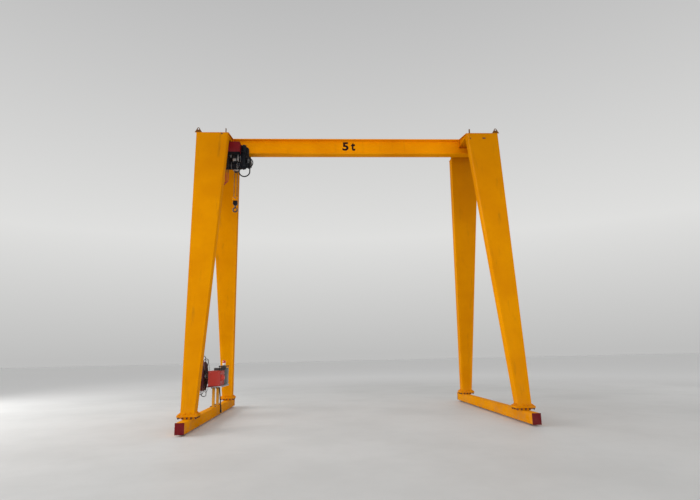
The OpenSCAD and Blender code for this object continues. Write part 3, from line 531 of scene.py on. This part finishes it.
def tube(bm, points, radius, seg=8, closed=False):
    """Round tube along points; radius is a number or a function of the point's index."""
    points = [Vector(p) for p in points]
    n = len(points)
    rings = []
    side = None
    for i, p in enumerate(points):
        if closed:
            ahead = (points[(i + 1) % n] - points[i - 1]).normalized()
        else:
            ahead = (points[min(i + 1, n - 1)] - points[max(i - 1, 0)]).normalized()
        if side is None:
            side = ahead.orthogonal().normalized()
        side = (side - ahead * side.dot(ahead)).normalized()
        other = ahead.cross(side)
        r = radius(i) if callable(radius) else radius
        rings.append([bm.verts.new(p + r * (math.cos(a) * side + math.sin(a) * other))
                      for a in (2 * math.pi * k / seg for k in range(seg))])
    for lo, hi in zip(rings, rings[1:] + rings[:1] if closed else rings[1:]):
        join(bm, lo, hi)
    if not closed:
        bm.faces.new(rings[0][::-1])
        bm.faces.new(rings[-1])


def bead(bm, a, b, size=0.006):
    """Rippled weld bead from a to b."""
    ripple = 0.009
    a, b = Vector(a), Vector(b)
    n = max(3, int((b - a).length / ripple))
    tube(bm, [a.lerp(b, i / n) for i in range(n + 1)], lambda i: size * (0.86 + 0.22 * rng.random()), 6)


def piece(name, bm, body, slot, material=None, sharp=35):
    """Closes the mesh, gives it its finish and makes it ride on body, where it has one."""
    bmesh.ops.recalc_face_normals(bm, faces=bm.faces)
    mesh = bpy.data.meshes.new(name)
    bm.to_mesh(mesh)
    bm.free()
    mesh.shade_smooth()
    mesh.set_sharp_from_angle(angle=math.radians(sharp))
    obj = bpy.data.objects.new(name, mesh)
    scene.collection.objects.link(obj)
    mesh.materials.append(material or MATS[slot])
    if body:
        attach(obj, body)
    return obj


# CAD nodes
slot_of = {s["node"]: s["material_slot"] for s in frame["record"]["subparts"]}


def dress_cad():
    """Gives each CAD node its paint and a small rolled edge that catches light."""
    for name, obj in nodes.items():
        obj.data.materials.clear()
        obj.data.materials.append(MATS[slot_of[name]])
        for p in obj.data.polygons:
            p.material_index = 0
            p.use_smooth = True
        weld = obj.modifiers.new("weld", "WELD")
        weld.merge_threshold = 0.00002
        bevel = obj.modifiers.new("edge", "BEVEL")
        heavy = name == "girder" or name.startswith(("leg", "sill"))
        bevel.width = 0.004 if heavy else 0.0012
        bevel.segments = 2
        bevel.limit_method = "ANGLE"
        bevel.angle_limit = math.radians(35)
        bevel.harden_normals = True


def tint(name, material, test=lambda c: True):
    """Gives another finish to the faces of a CAD node whose centre passes test."""
    data = nodes[name].data
    data.materials.append(material)
    index = len(data.materials) - 1
    for p in data.polygons:
        if test(p.center):
            p.material_index = index


def near_ropes(c, x, y):
    """Whether c lies within x and y of the upright line through the hook."""
    return abs(c.x - HOIST_X) < x and abs(c.y) < y


def tint_steelwork():
    """The girder's paint, a brighter copy of the yellow as painted light; the lugs, a darker copy as
    painted shade; and the end stops' rubber buffers.
    """
    # Painted light: the girder takes the brighter copy of the yellow
    tint("girder", GIRDER)
    for side in SIDES:
        tint("end_stop_" + side, MATS["black_plastic"], lambda c: abs(c.x) < STOP_X - 0.0001)
        for end in ENDS:
            # Painted shade: the lugs above the leg tops take the darkened yellow
            tint(f"leg_{side}_{end}", SHADED_LUG, lambda c: c.z > LEG_TOP + 0.001)


def tint_equipment():
    """The stand's conduit and tray, the tray's outer part in dark red as painted shade under the control
    box, and the reel's arms.
    """
    sill_face = SILL_W / 2 - HALF_SPAN
    tray_low = TRAY_Z - 0.001
    tint("equipment_stand", MATS["black_plastic"],
         lambda c: sill_face < c.x < sill_face + 0.038 and c.z < TRAY_Z - 0.004 and c.y > 0.38)
    tint("equipment_stand", ZINC, lambda c: c.z > tray_low and c.x > sill_face)
    # Painted shade: the tray's outer part, under the control box, is painted dark red
    tint("equipment_stand", MATS["dark_red_paint"], lambda c: c.z > tray_low and c.x <= sill_face)
    tint("cable_reel", ARM, lambda c: (c.yz - REEL.yz).length > HUB_R + 0.005)


def tint_hoist():
    """Wheels and sheaves, the cubicle's underside in black as painted shade, the motor's straps, and the
    cables, with the supply loops black at the top as painted shade.
    """
    straps_y, straps_z = -SIDE_OUT - STRAP_T - 0.0005, GIRDER_Z + MOTOR_Z + 0.12
    for end in ENDS:
        tint("trolley_side_" + end, MATS["wheel_steel"],
             lambda c: abs(c.y) < SIDE_IN - 0.0015 or abs(c.y) > SIDE_OUT + 0.001)
    # Painted shade: the cubicle's underside is painted black
    tint("hoist_cubicle", MATS["black_paint"], lambda c: c.z < GIRDER_Z + CUBICLE_LOW + 0.0005)
    # Painted shade: the supply loops' upper parts turn black
    tint("supply_loops", LOOP)
    tint("hoist_cables", LEAD)
    tint("hoist_motor", ZINC, lambda c: c.y > straps_y and c.z > straps_z)
    tint("top_sheaves", MATS["rope_steel"], lambda c: near_ropes(c, 0.053, 0.0405))
    tint("hook_block", MATS["wheel_steel"],
         lambda c: near_ropes(c, 0.055, 0.05) and BLOCK_TOP - 0.117 < c.z < BLOCK_TOP - 0.0005)


# Legs, girder and feet
def foot_bolts():
    """Bolts through both flanges of each foot, with dark nuts below."""
    end_x, row_y, side_y = 0.2, 0.176, 0.06
    places = [(x, y) for x in (-end_x, -end_x / 2, 0, end_x / 2, end_x) for y in (-row_y, row_y)]
    places += [(x, y) for x in (-end_x, end_x) for y in (-side_y, side_y)]
    for side, sx in SIDES.items():
        for end, sy in ENDS.items():
            heads, nuts = bmesh.new(), bmesh.new()
            for x, y in places:
                spot = Vector((sx * HALF_SPAN + x, sy * FOOT_Y + y, FOOT_Z))
                below = spot - Vector((0, 0, 2 * FLANGE_T))
                bolt(heads, spot, (0, 0, 1), af=0.036, h=0.016)
                bolt(nuts, below, (0, 0, -1), af=0.038, h=0.022, stud=0.022)
            piece(f"foot_bolts_{side}_{end}", heads, "structure", "yellow_paint")
            piece(f"foot_nuts_{side}_{end}", nuts, "structure", "wheel_steel", DARK_BOLT)


def foot_welds():
    """Beads round the legs' feet and at both ends of the stubs, which overhang the sill beams."""
    # Half width, half depth and height of each seam, and whether it runs all round
    seams = (
        (LEG_W / 2 + 0.001, LEG_T / 2 + 0.002, FOOT_Z, True),
        (SILL_W / 2, LEG_T / 2 + 0.001, SILL_TOP, False),
        (STUB_W / 2 + 0.001, LEG_T / 2 + 0.001, SILL_TOP + STUB_H, True),
    )
    bm = bmesh.new()
    for sx, sy in CORNERS:
        x0, y0 = sx * HALF_SPAN, sy * FOOT_Y
        for hx, hy, z, all_round in seams:
            for s in (-1, 1):
                bead(bm, (x0 - hx, y0 + s * hy, z), (x0 + hx, y0 + s * hy, z))
                if all_round:
                    bead(bm, (x0 + s * hx, y0 - hy, z), (x0 + s * hx, y0 + hy, z))
    piece("foot_welds", bm, "structure", "yellow_paint")


def head_welds():
    """Beads where the brackets meet the leg tops, the girder's web and its top flange."""
    half_box, inset = 0.41, 0.02
    foot_y, toe_y, side_from, side_to = 1.051, 0.921, 0.06, 0.90
    plate_top = LEG_TOP + BRACKET_T + 0.001
    wide, narrow = 0.007, 0.006
    # Distance from the girder's middle, height and size of each long bead
    seams = (
        (WEB_FACE + 0.002, LEG_TOP - 0.001, wide),
        (foot_y, LEG_TOP + 0.002, wide),
        (toe_y, plate_top, narrow),
        (GIRDER_W / 2 + 0.002, GIRDER_TOP - 0.003, narrow),
    )
    bm = bmesh.new()
    for sx in (-1, 1):
        lo, hi = sx * HALF_SPAN - half_box, sx * HALF_SPAN + half_box
        for sy in (-1, 1):
            for y, z, size in seams:
                bead(bm, (lo, sy * y, z), (hi, sy * y, z), size)
            for x in (lo + inset, hi - inset):
                bead(bm, (x, sy * side_from, plate_top), (x, sy * side_to, plate_top), narrow)
    piece("head_welds", bm, "structure", "yellow_paint")


def leg_fittings():
    """A slotted hole, filled by a dark disc of painted shade for its dark inside, and two plugs in the
    sloping front plates of the legs, near the heads.
    """
    slope = math.atan(LEAN)
    out = Vector((0, -math.cos(slope), math.sin(slope)))
    along = Vector((1, 0, 0))
    up = out.cross(along)
    # Place across and up, half the straight part of a slot, and radius of each
    holes = ((4.017, 7.923, 0.030, 0.022), (3.607, 7.919, 0.0, 0.020), (-3.717, 8.06, 0.0, 0.024))
    bm = bmesh.new()
    for x, z, half, r in holes:
        mid = Vector((x, -(LEG_TOP_Y + (LEG_TOP - z) * LEAN), z))
        rings = []
        # From the sunk root over the rim to the hollow middle
        for radius, rise in ((r, -0.004), (r, 0.003), (r * 0.7, 0.003), (r * 0.6, 0.0005)):
            ring = []
            for c, s in around(32, radius):
                shift = math.copysign(half, c) if half else 0.0
                spot = along * (c + shift) + up * s + out * rise
                ring.append(bm.verts.new(mid + spot))
            rings.append(ring)
        for lo, hi in zip(rings, rings[1:]):
            join(bm, lo, hi)
        bm.faces.new(rings[0][::-1])
        bm.faces.new(rings[-1])
    # The slotted hole's dark disc is painted shade; the two plugs are dark steel
    piece("leg_plugs", bm, "structure", "wheel_steel", DARK_BOLT)


def end_plate_bolts():
    """Four bolts on each dark red end plate."""
    half_x, low, high = 0.078, 0.065, 0.258
    bm = bmesh.new()
    for sx, sy in CORNERS:
        for x in (-half_x, half_x):
            for z in (low, high):
                bolt(bm, (sx * HALF_SPAN + x, sy * END_PLATE_Y, z), (0, sy, 0), af=0.019, h=0.008)
    piece("end_plate_bolts", bm, "structure", "dark_red_paint")


def letter_shape(letter):
    """Flat outline of a bold letter: its points, which run from 0 to 1 both ways, and its faces."""
    curve = bpy.data.curves.new("letter", "FONT")
    curve.body = letter
    curve.offset = 0.040
    text = bpy.data.objects.new("letter", curve)
    scene.collection.objects.link(text)
    mesh = bpy.data.meshes.new_from_object(text.evaluated_get(bpy.context.evaluated_depsgraph_get()))
    xs = [v.co.x for v in mesh.vertices]
    ys = [v.co.y for v in mesh.vertices]
    left, width = min(xs), max(xs) - min(xs)
    low, height = min(ys), max(ys) - min(ys)
    points = [((x - left) / width, (y - low) / height) for x, y in zip(xs, ys)]
    faces = [list(p.vertices) for p in mesh.polygons]
    bpy.data.objects.remove(text)
    bpy.data.meshes.remove(mesh)
    return points, faces


def capacity_mark(name, side):
    """Painted capacity on the girder's web, one letter at a time so that each keeps its width."""
    y, thick = side * (0.0001 - WEB_FACE), 0.0006
    # Each letter with its left and right edge, foot and head
    letters = (("5", -0.162, 0.032, 8.006, 8.292), ("t", 0.108, 0.245, 8.002, 8.282))
    bm = bmesh.new()
    for letter, x0, x1, z0, z1 in letters:
        points, faces = letter_shape(letter)
        made = [bm.verts.new((side * (x0 + u * (x1 - x0)), y, z0 + v * (z1 - z0))) for u, v in points]
        for f in faces:
            bm.faces.new([made[i] for i in f])
    bmesh.ops.remove_doubles(bm, verts=bm.verts, dist=0.0001)
    grown = bmesh.ops.extrude_face_region(bm, geom=bm.faces[:])
    for v in grown["geom"]:
        if isinstance(v, bmesh.types.BMVert):
            v.co.y -= side * thick
    piece(name, bm, "structure", "black_paint", MARK)


# Hoist
def drum_rope():
    """Rope wound on the drum, and two guide rings over it."""
    grooves, turns, pitch, steps = 36, 33, 0.018, 48
    wound_r = DRUM_R + 0.0028
    start = -(grooves - 1) * pitch / 2
    points = []
    for i in range(turns * steps + 1):
        a = 2 * math.pi * i / steps + math.pi / 2
        y, z = DRUM_Y + wound_r * math.cos(a), DRUM_Z + wound_r * math.sin(a)
        points.append(hoist(start + pitch * i / steps, y, z))
    bm = bmesh.new()
    tube(bm, points, ROPE_R, 7)
    piece("drum_rope", bm, "trolley", "rope_steel")
    guide_t = 0.026
    bm = bmesh.new()
    for x in (-0.115, 0.19):
        place = hoist(x, DRUM_Y, DRUM_Z)
        collar(bm, DRUM_R + 0.0095, DRUM_R + 0.017, guide_t, place)
        for dy, dz in around(6, DRUM_R + 0.0135):
            bolt(bm, place + Vector((guide_t, dy, dz)), (1, 0, 0), af=0.006, h=0.003)
    piece("rope_guides", bm, "trolley", "yellow_paint", GUIDE)


def falls():
    """Four falls of six-strand rope, which stretch between the top sheaves and the block."""
    top, low = GIRDER_Z + SHEAVE_Z, BLOCK_TOP - AXLE_DROP
    lay = 0.075
    core_r, strand_r, strand_out = 0.0028, 0.00192, 0.00352
    for i, (sx, sy) in enumerate(CORNERS):
        bm = bmesh.new()
        centre = Vector((HOIST_X + sx * SHEAVE_R, sy * SHEAVE_Y, 0))
        steps = int((top - low) / lay * 10)
        for strand in range(6):
            turn = 2 * math.pi * strand / 6
            pts = []
            for k in range(steps + 1):
                z = top + (low - top) * k / steps
                a = turn + 2 * math.pi * (top - z) / lay
                pts.append(centre + Vector((strand_out * math.cos(a), strand_out * math.sin(a), z)))
            tube(bm, pts, strand_r, 6)
        tube(bm, [centre + Vector((0, 0, top)), centre + Vector((0, 0, low))], core_r, 8)
        obj = piece(f"rope_fall_{i + 1}", bm, None, "rope_steel", sharp=80)
        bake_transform(obj)
        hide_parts("rope_falls")


def motor_brackets():
    """Band round the motor's shield, bar on two posts below it, and angle brackets up to the cubicle."""
    y, z = MOTOR_Y, MOTOR_Z
    bar_low, bar_high = z - 0.151, z - 0.136
    front, plate_back, shelf, shelf_back = -0.345, -0.338, -0.312, -0.24
    under_cubicle = CUBICLE_LOW + 0.002
    bm = bmesh.new()
    collar(bm, 0.1165, 0.1215, 0.014, hoist(0.083, y, z))
    block(bm, hoist(-0.04, y - 0.05, bar_low), hoist(0.165, y + 0.05, bar_high))
    for x in (-0.005, 0.115):
        block(bm, hoist(x, y - 0.03, bar_high - 0.002), hoist(x + 0.02, y + 0.03, z - 0.104))
    # Upright plate, shelf and post on the fins of each angle bracket
    for x0, x1, top in ((-0.05, 0.055, -0.24), (0.095, 0.125, under_cubicle)):
        block(bm, hoist(x0, front, shelf), hoist(x1, plate_back, top))
        block(bm, hoist(x0, plate_back - 0.003, shelf), hoist(x1, shelf_back, shelf + 0.008))
        block(bm, hoist(x0 + 0.005, y - 0.01, z + 0.105), hoist(x0 + 0.025, y + 0.01, shelf + 0.004))
    block(bm, hoist(-0.12, front, -0.2), hoist(-0.09, plate_back, under_cubicle))
    piece("motor_brackets", bm, "trolley", "bare_steel", ZINC)


def motor_bolts():
    """Ring over the fins, and the screws of the shield, the terminal box, its gland and the straps."""
    y, z = MOTOR_Y, MOTOR_Z
    shield_x, terminal_y, strap_y = GEAR_X - 0.105, MOTOR_Y - 0.195, -SIDE_OUT - STRAP_T
    bm = bmesh.new()
    collar(bm, 0.112, 0.1165, 0.01, hoist(-0.088, y, z))
    for dy, dz in around(8, 0.106, 0.5):
        bolt(bm, hoist(shield_x, y + dy, z + dz), (-1, 0, 0), af=0.013, h=0.007)
    for x in (0.125, 0.17):
        for dz in (-0.065, 0.005):
            bolt(bm, hoist(x, terminal_y, z + dz), (0, -1, 0), af=0.010, h=0.005)
    bolt(bm, hoist(0.147, y - 0.14, z - 0.085), (0, 0, -1), af=0.034, h=0.018)
    for x in (-0.306, 0.161):
        for strap_z in (-0.155, -0.125):
            bolt(bm, hoist(x, strap_y, strap_z), (0, -1, 0), af=0.019, h=0.010)
    piece("motor_bolts", bm, "trolley", "bare_steel")


def cowl_slots():
    """Three rows of thin dark bars round the motor's cowl: painted shade that reads as the dark inside its
    air slots.
    """
    half = Vector((0.009, 0.002, 0.002))
    bm = bmesh.new()
    for dy, dz in around(18, MOTOR_R + 0.0002, 0.5):
        for x in (-0.345, -0.318, -0.291):
            mid = hoist(x, MOTOR_Y + dy, MOTOR_Z + dz)
            block(bm, mid - half, mid + half, 0.0008)
    piece("cowl_slots", bm, "trolley", "black_plastic")


def gearbox_bolts():
    """Screws through the gear case's joint, round its cover, and its filler plug."""
    y0, low, high = MOTOR_Y - 0.008, MOTOR_Z, 0.165
    r0, r1 = 0.113, 0.061
    reach = high - low
    a = math.asin((r0 - r1) / reach)

    def arc(z, r, start, steps):
        for t in range(steps + 1):
            turn = start + (math.pi - 2 * a) * t / steps
            yield y0 + r * math.cos(turn), z + r * math.sin(turn)

    spots = list(arc(low, r0, math.pi + a, 10))
    for t in range(1, 6):
        r, z = r0 + (r1 - r0) * t / 6, low + reach * t / 6
        spots += [(y0 + s * r * math.cos(a), z + r * math.sin(a)) for s in (-1, 1)]
    spots += arc(high, r1, a, 6)
    bm = bmesh.new()
    for y, z in spots:
        # The side plate covers the rest of the joint
        if y < -SIDE_OUT - 0.016 or z < -HANG - 0.02:
            for part, way in ((0.65, 1), (0.4, -1)):
                bolt(bm, hoist(GEAR_X + GEAR_T * part, y, z), (way, 0, 0), af=0.010, h=0.006)
    for dy, dz in around(8, 0.078, 0.5):
        bolt(bm, hoist(FRAME_X + 0.03, MOTOR_Y + dy, MOTOR_Z + dz), (1, 0, 0), af=0.013, h=0.007)
    lathe(bm, [(0.014, -0.002), (0.014, 0.012)], hoist(0.27, y0, high + r1), (0, 0, 1), 6)
    piece("gearbox_bolts", bm, "trolley", "black_paint")


def cubicle_parts():
    """Hinges, turn locks and a seal line on the cubicle's door, and hex nuts on its glands."""
    front = CUBICLE_FRONT
    left, right = CUBICLE_LEFT + DOOR_RIM, CUBICLE_RIGHT - DOOR_RIM
    bottom, top = CUBICLE_LOW + DOOR_RIM, CUBICLE_TOP - DOOR_RIM - LIP_H
    seal_y, seal_r = front + 0.0085, 0.0025
    lock_z = -0.085
    bm = bmesh.new()
    for x in (-0.36, -0.12, 0.12):
        block(bm, hoist(x - 0.03, front - 0.006, top - 0.008), hoist(x + 0.03, front + 0.001, top + 0.014))
        lathe(bm, [(0.006, 0), (0.006, 0.07)], hoist(x - 0.035, front - 0.006, top + 0.004), (1, 0, 0), 12)
    for x in (-0.33, 0.12):
        turn_lock(bm, hoist(x, front, lock_z), (0, -1, 0), r=0.016, edge=0.004, root=0.002, seg=24)
        block(bm, hoist(x - 0.011, front - 0.013, lock_z - 0.003),
              hoist(x + 0.011, front - 0.006, lock_z + 0.003), 0.001)
    piece("cubicle_locks", bm, "trolley", "dark_red_paint")
    bm = bmesh.new()
    corners = [hoist(x, seal_y, z) for x, z in ((left, bottom), (right, bottom), (right, top), (left, top))]
    for p, q in zip(corners, corners[1:] + corners[:1]):
        tube(bm, [p, q], seal_r, 6)
    for x in (-0.29, -0.21, -0.13):
        lathe(bm, [(0.013, 0), (0.013, -0.02), (0.009, -0.026)],
              hoist(x, front + 0.225, CUBICLE_LOW - 0.022), (0, 0, 1), 16)
    # Link that carries the wide motor bracket
    block(bm, hoist(-0.03, -0.343, -0.245), hoist(-0.005, -0.339, CUBICLE_LOW + 0.002))
    piece("cubicle_seal", bm, "trolley", "black_plastic")


def trolley_bolts():
    """Bolts, rod nuts, wheel caps and the drum's bearing covers on the trolley's plates."""
    bm = bmesh.new()
    for sy in (-1, 1):
        for x in (-0.39, -0.35, 0.35, 0.39):
            for z in (-0.145, -0.115):
                bolt(bm, hoist(x, sy * SIDE_OUT, z), (0, sy, 0), af=0.017, h=0.009, stud=0.005)
        for sx in (-1, 1):
            bolt(bm, hoist(sx * FRAME_X, sy * ROD_Y, ROD_Z), (sx, 0, 0), af=0.038, h=0.02, stud=0.012)
            lathe(bm, [(0.012, 0), (0.012, 0.012), (0.009, 0.014)],
                  hoist(sx * WHEEL_X, sy * (SIDE_OUT + 0.015), WHEEL_Z), (0, sy, 0), 16)
    for dy, dz in around(6, 0.09):
        for sx in (-1, 1):
            bolt(bm, hoist(sx * FRAME_X, DRUM_Y + dy, DRUM_Z + dz), (sx, 0, 0), af=0.017, h=0.01)
    for sx in (-1, 1):
        lathe(bm, [(0.062, -0.002), (0.062, 0.010), (0.052, 0.022)],
              hoist(sx * FRAME_X, DRUM_Y, DRUM_Z), (sx, 0, 0), 40)
    piece("trolley_bolts", bm, "trolley", "wheel_steel")


def block_parts():
    """Pin caps, keeper plates and cover screws of the hook block, and the caps and ring of its yoke."""
    axle_z = BLOCK_TOP - AXLE_DROP
    face, keeper_face = COVER_HALF, COVER_HALF + 0.006
    bm = bmesh.new()
    for sy in (-1, 1):
        lathe(bm, [(0.014, -0.001), (0.012, 0.003)], (HOIST_X, sy * PIN_END, axle_z), (0, sy, 0), 20)
        block(bm, (HOIST_X - 0.03, sy * face, axle_z + 0.017),
              (HOIST_X + 0.03, sy * keeper_face, axle_z + 0.035), 0.0015)
        for x in (-0.022, 0.022):
            bolt(bm, (HOIST_X + x, sy * keeper_face, axle_z + 0.026), (0, sy, 0), af=0.010, h=0.005)
        for x in (-0.066, 0.066):
            for dz in (-0.046, 0.035):
                bolt(bm, (HOIST_X + x, sy * face, axle_z + dz), (0, sy, 0), af=0.013, h=0.007)
    piece("block_screws", bm, "lower_block", "bare_steel")
    low = BLOCK_TOP - COVER_H - YOKE_H
    bm = bmesh.new()
    for sx in (-1, 1):
        place = (HOIST_X + sx * 0.070, 0, low + YOKE_H / 2)
        lathe(bm, [(0.017, -0.001), (0.015, 0.003)], place, (sx, 0, 0), 20)
    lathe(bm, [(0.0212, 0), (0.036, 0), (0.036, -0.008), (0.031, -0.012), (0.0212, -0.012)],
          (HOIST_X, 0, low), (0, 0, 1), 40, hollow=True)
    piece("yoke_trim", bm, "lower_block", "wheel_steel")


# Equipment on the left sill beam
def reel_cable():
    """Wound cable: four flat spirals side by side, each turn a little slack."""
    cable_r, pitch, first_r = 0.0132, 0.0266, 0.0885
    layers, layer_w = 4, 0.029
    turns, steps = 12.2, 56
    bm = bmesh.new()
    for layer in range(layers):
        x = (layer - (layers - 1) / 2) * layer_w
        phase = rng.uniform(0, 2 * math.pi)
        pts = []
        for k in range(int(turns * steps)):
            t = k / steps
            a = 2 * math.pi * t + phase
            r = first_r + pitch * t
            sway = 0.0011 * math.sin(3.1 * a + layer) + 0.0008 * math.sin(1.7 * a + 2 * layer)
            pts.append(REEL + Vector((x + sway, r * math.cos(a), r * math.sin(a))))
        tube(bm, pts, cable_r, 8)
    obj = piece("reel_cable", bm, "reel", "red_rubber")
    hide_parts("reel_coil")


def reel_parts():
    """Screws on the hub's faces, and rings that tie the arms together on both sides."""
    bm = bmesh.new()
    for dy, dz in around(8, HUB_R - 0.02, 0.5):
        for sx in (-1, 1):
            bolt(bm, REEL + Vector((sx * HUB_HALF, dy, dz)), (sx, 0, 0), af=0.013, h=0.006)
    for sx in (-1, 1):
        for r in (0.24, 0.45):
            circle = [REEL + Vector((sx * (HUB_HALF - 0.002), dy, dz)) for dy, dz in around(72, r)]
            tube(bm, circle, 0.005, 8, closed=True)
    piece("reel_bolts", bm, "reel", "wheel_steel", ARM)


def box_parts():
    """Hinges, locks and screws of the control box and relay cabinet, and the horn's screws."""
    x0, y0, z0 = BOX
    door = x0 + BOX_W
    bm = bmesh.new()
    for z in (z0 + 0.08, z0 + 0.33):
        block(bm, (door - 0.003, y0 + 0.575, z - 0.025), (door + 0.007, y0 + 0.594, z + 0.025))
        lathe(bm, [(0.006, 0), (0.006, 0.06)], (door + 0.004, y0 + 0.593, z - 0.03), (0, 0, 1), 12)
        turn_lock(bm, (door, y0 + 0.04, z), (1, 0, 0), r=0.014, edge=0.003)
        block(bm, (door + 0.006, y0 + 0.038, z - 0.01), (door + 0.012, y0 + 0.042, z + 0.01), 0.001)
    cabinet_door = door + 0.06
    for z in (z0 + 0.09, z0 + 0.39):
        turn_lock(bm, (cabinet_door, y0 + 0.66, z), (1, 0, 0), r=0.013, edge=0.003)
        block(bm, (cabinet_door - 0.003, y0 + 0.91, z - 0.022),
              (cabinet_door + 0.006, y0 + 0.926, z + 0.022))
    for x in (0.05, 0.30):
        for z in (0.03, 0.37):
            bolt(bm, (x0 + x, y0, z0 + z), (0, -1, 0), af=0.010, h=0.005)
    for x in (0.272, 0.320):
        bolt(bm, (x0 + x, y0 + 0.25, z0 + 0.55), (0, 0, 1), af=0.013, h=0.007)
    piece("box_fittings", bm, "structure", "bare_steel", ZINC)


def tray_glands():
    """Cable glands that hang from the tray under the control box."""
    bm = bmesh.new()
    for x in (0.09, 0.15, 0.21, 0.27):
        lathe(bm, [(0.018, 0), (0.018, -0.050), (0.013, -0.060), (0.010, -0.075)],
              (BOX[0] + x, BOX[1] + 0.10, TRAY_Z + 0.034), (0, 0, 1), 6)
    piece("tray_glands", bm, "structure", "black_plastic")


def stand_bolts():
    """Bolts at the corners of the stand's two base plates."""
    base_top = SILL_TOP + 0.012
    bm = bmesh.new()
    for y in (STAND_Y - POST_PITCH / 2, STAND_Y + POST_PITCH / 2):
        for x in (-0.065, 0.065):
            for dy in (-0.055, 0.055):
                bolt(bm, (-HALF_SPAN + x, y + dy, base_top), (0, 0, 1), af=0.024, h=0.012, stud=0.008)
    piece("stand_bolts", bm, "structure", "wheel_steel", DARK_BOLT)


def switch_grip():
    """Ribs round the main switch's knob, and a raised rim on its ring."""
    knob_r, foot, top = 0.0585, 0.027, 0.058
    boss = Vector((BOX[0] + BOX_W, BOX[1] + 0.2, BOX[2] + 0.215))
    bm = bmesh.new()
    for dy, dz in around(24, knob_r):
        tube(bm, [boss + Vector((foot, dy, dz)), boss + Vector((top, dy, dz))], 0.0035, 6)
    lathe(bm, [(0.084, 0), (0.093, 0), (0.093, 0.008), (0.088, 0.012), (0.084, 0.008)],
          boss + Vector((0.022, 0, 0)), (1, 0, 0), 48, hollow=True)
    piece("switch_grip", bm, "structure", "red_plastic")


# Dressing the crane
dress_cad()
tint_steelwork()
tint_equipment()
tint_hoist()
foot_bolts()
foot_welds()
head_welds()
leg_fittings()
end_plate_bolts()
capacity_mark("mark_front", 1)
capacity_mark("mark_back", -1)
drum_rope()
falls()
motor_brackets()
motor_bolts()
cowl_slots()
gearbox_bolts()
cubicle_parts()
trolley_bolts()
block_parts()
reel_cable()
reel_parts()
box_parts()
tray_glands()
stand_bolts()
switch_grip()
make_camera()
make_stage()
scene.view_settings.view_transform = "Standard"
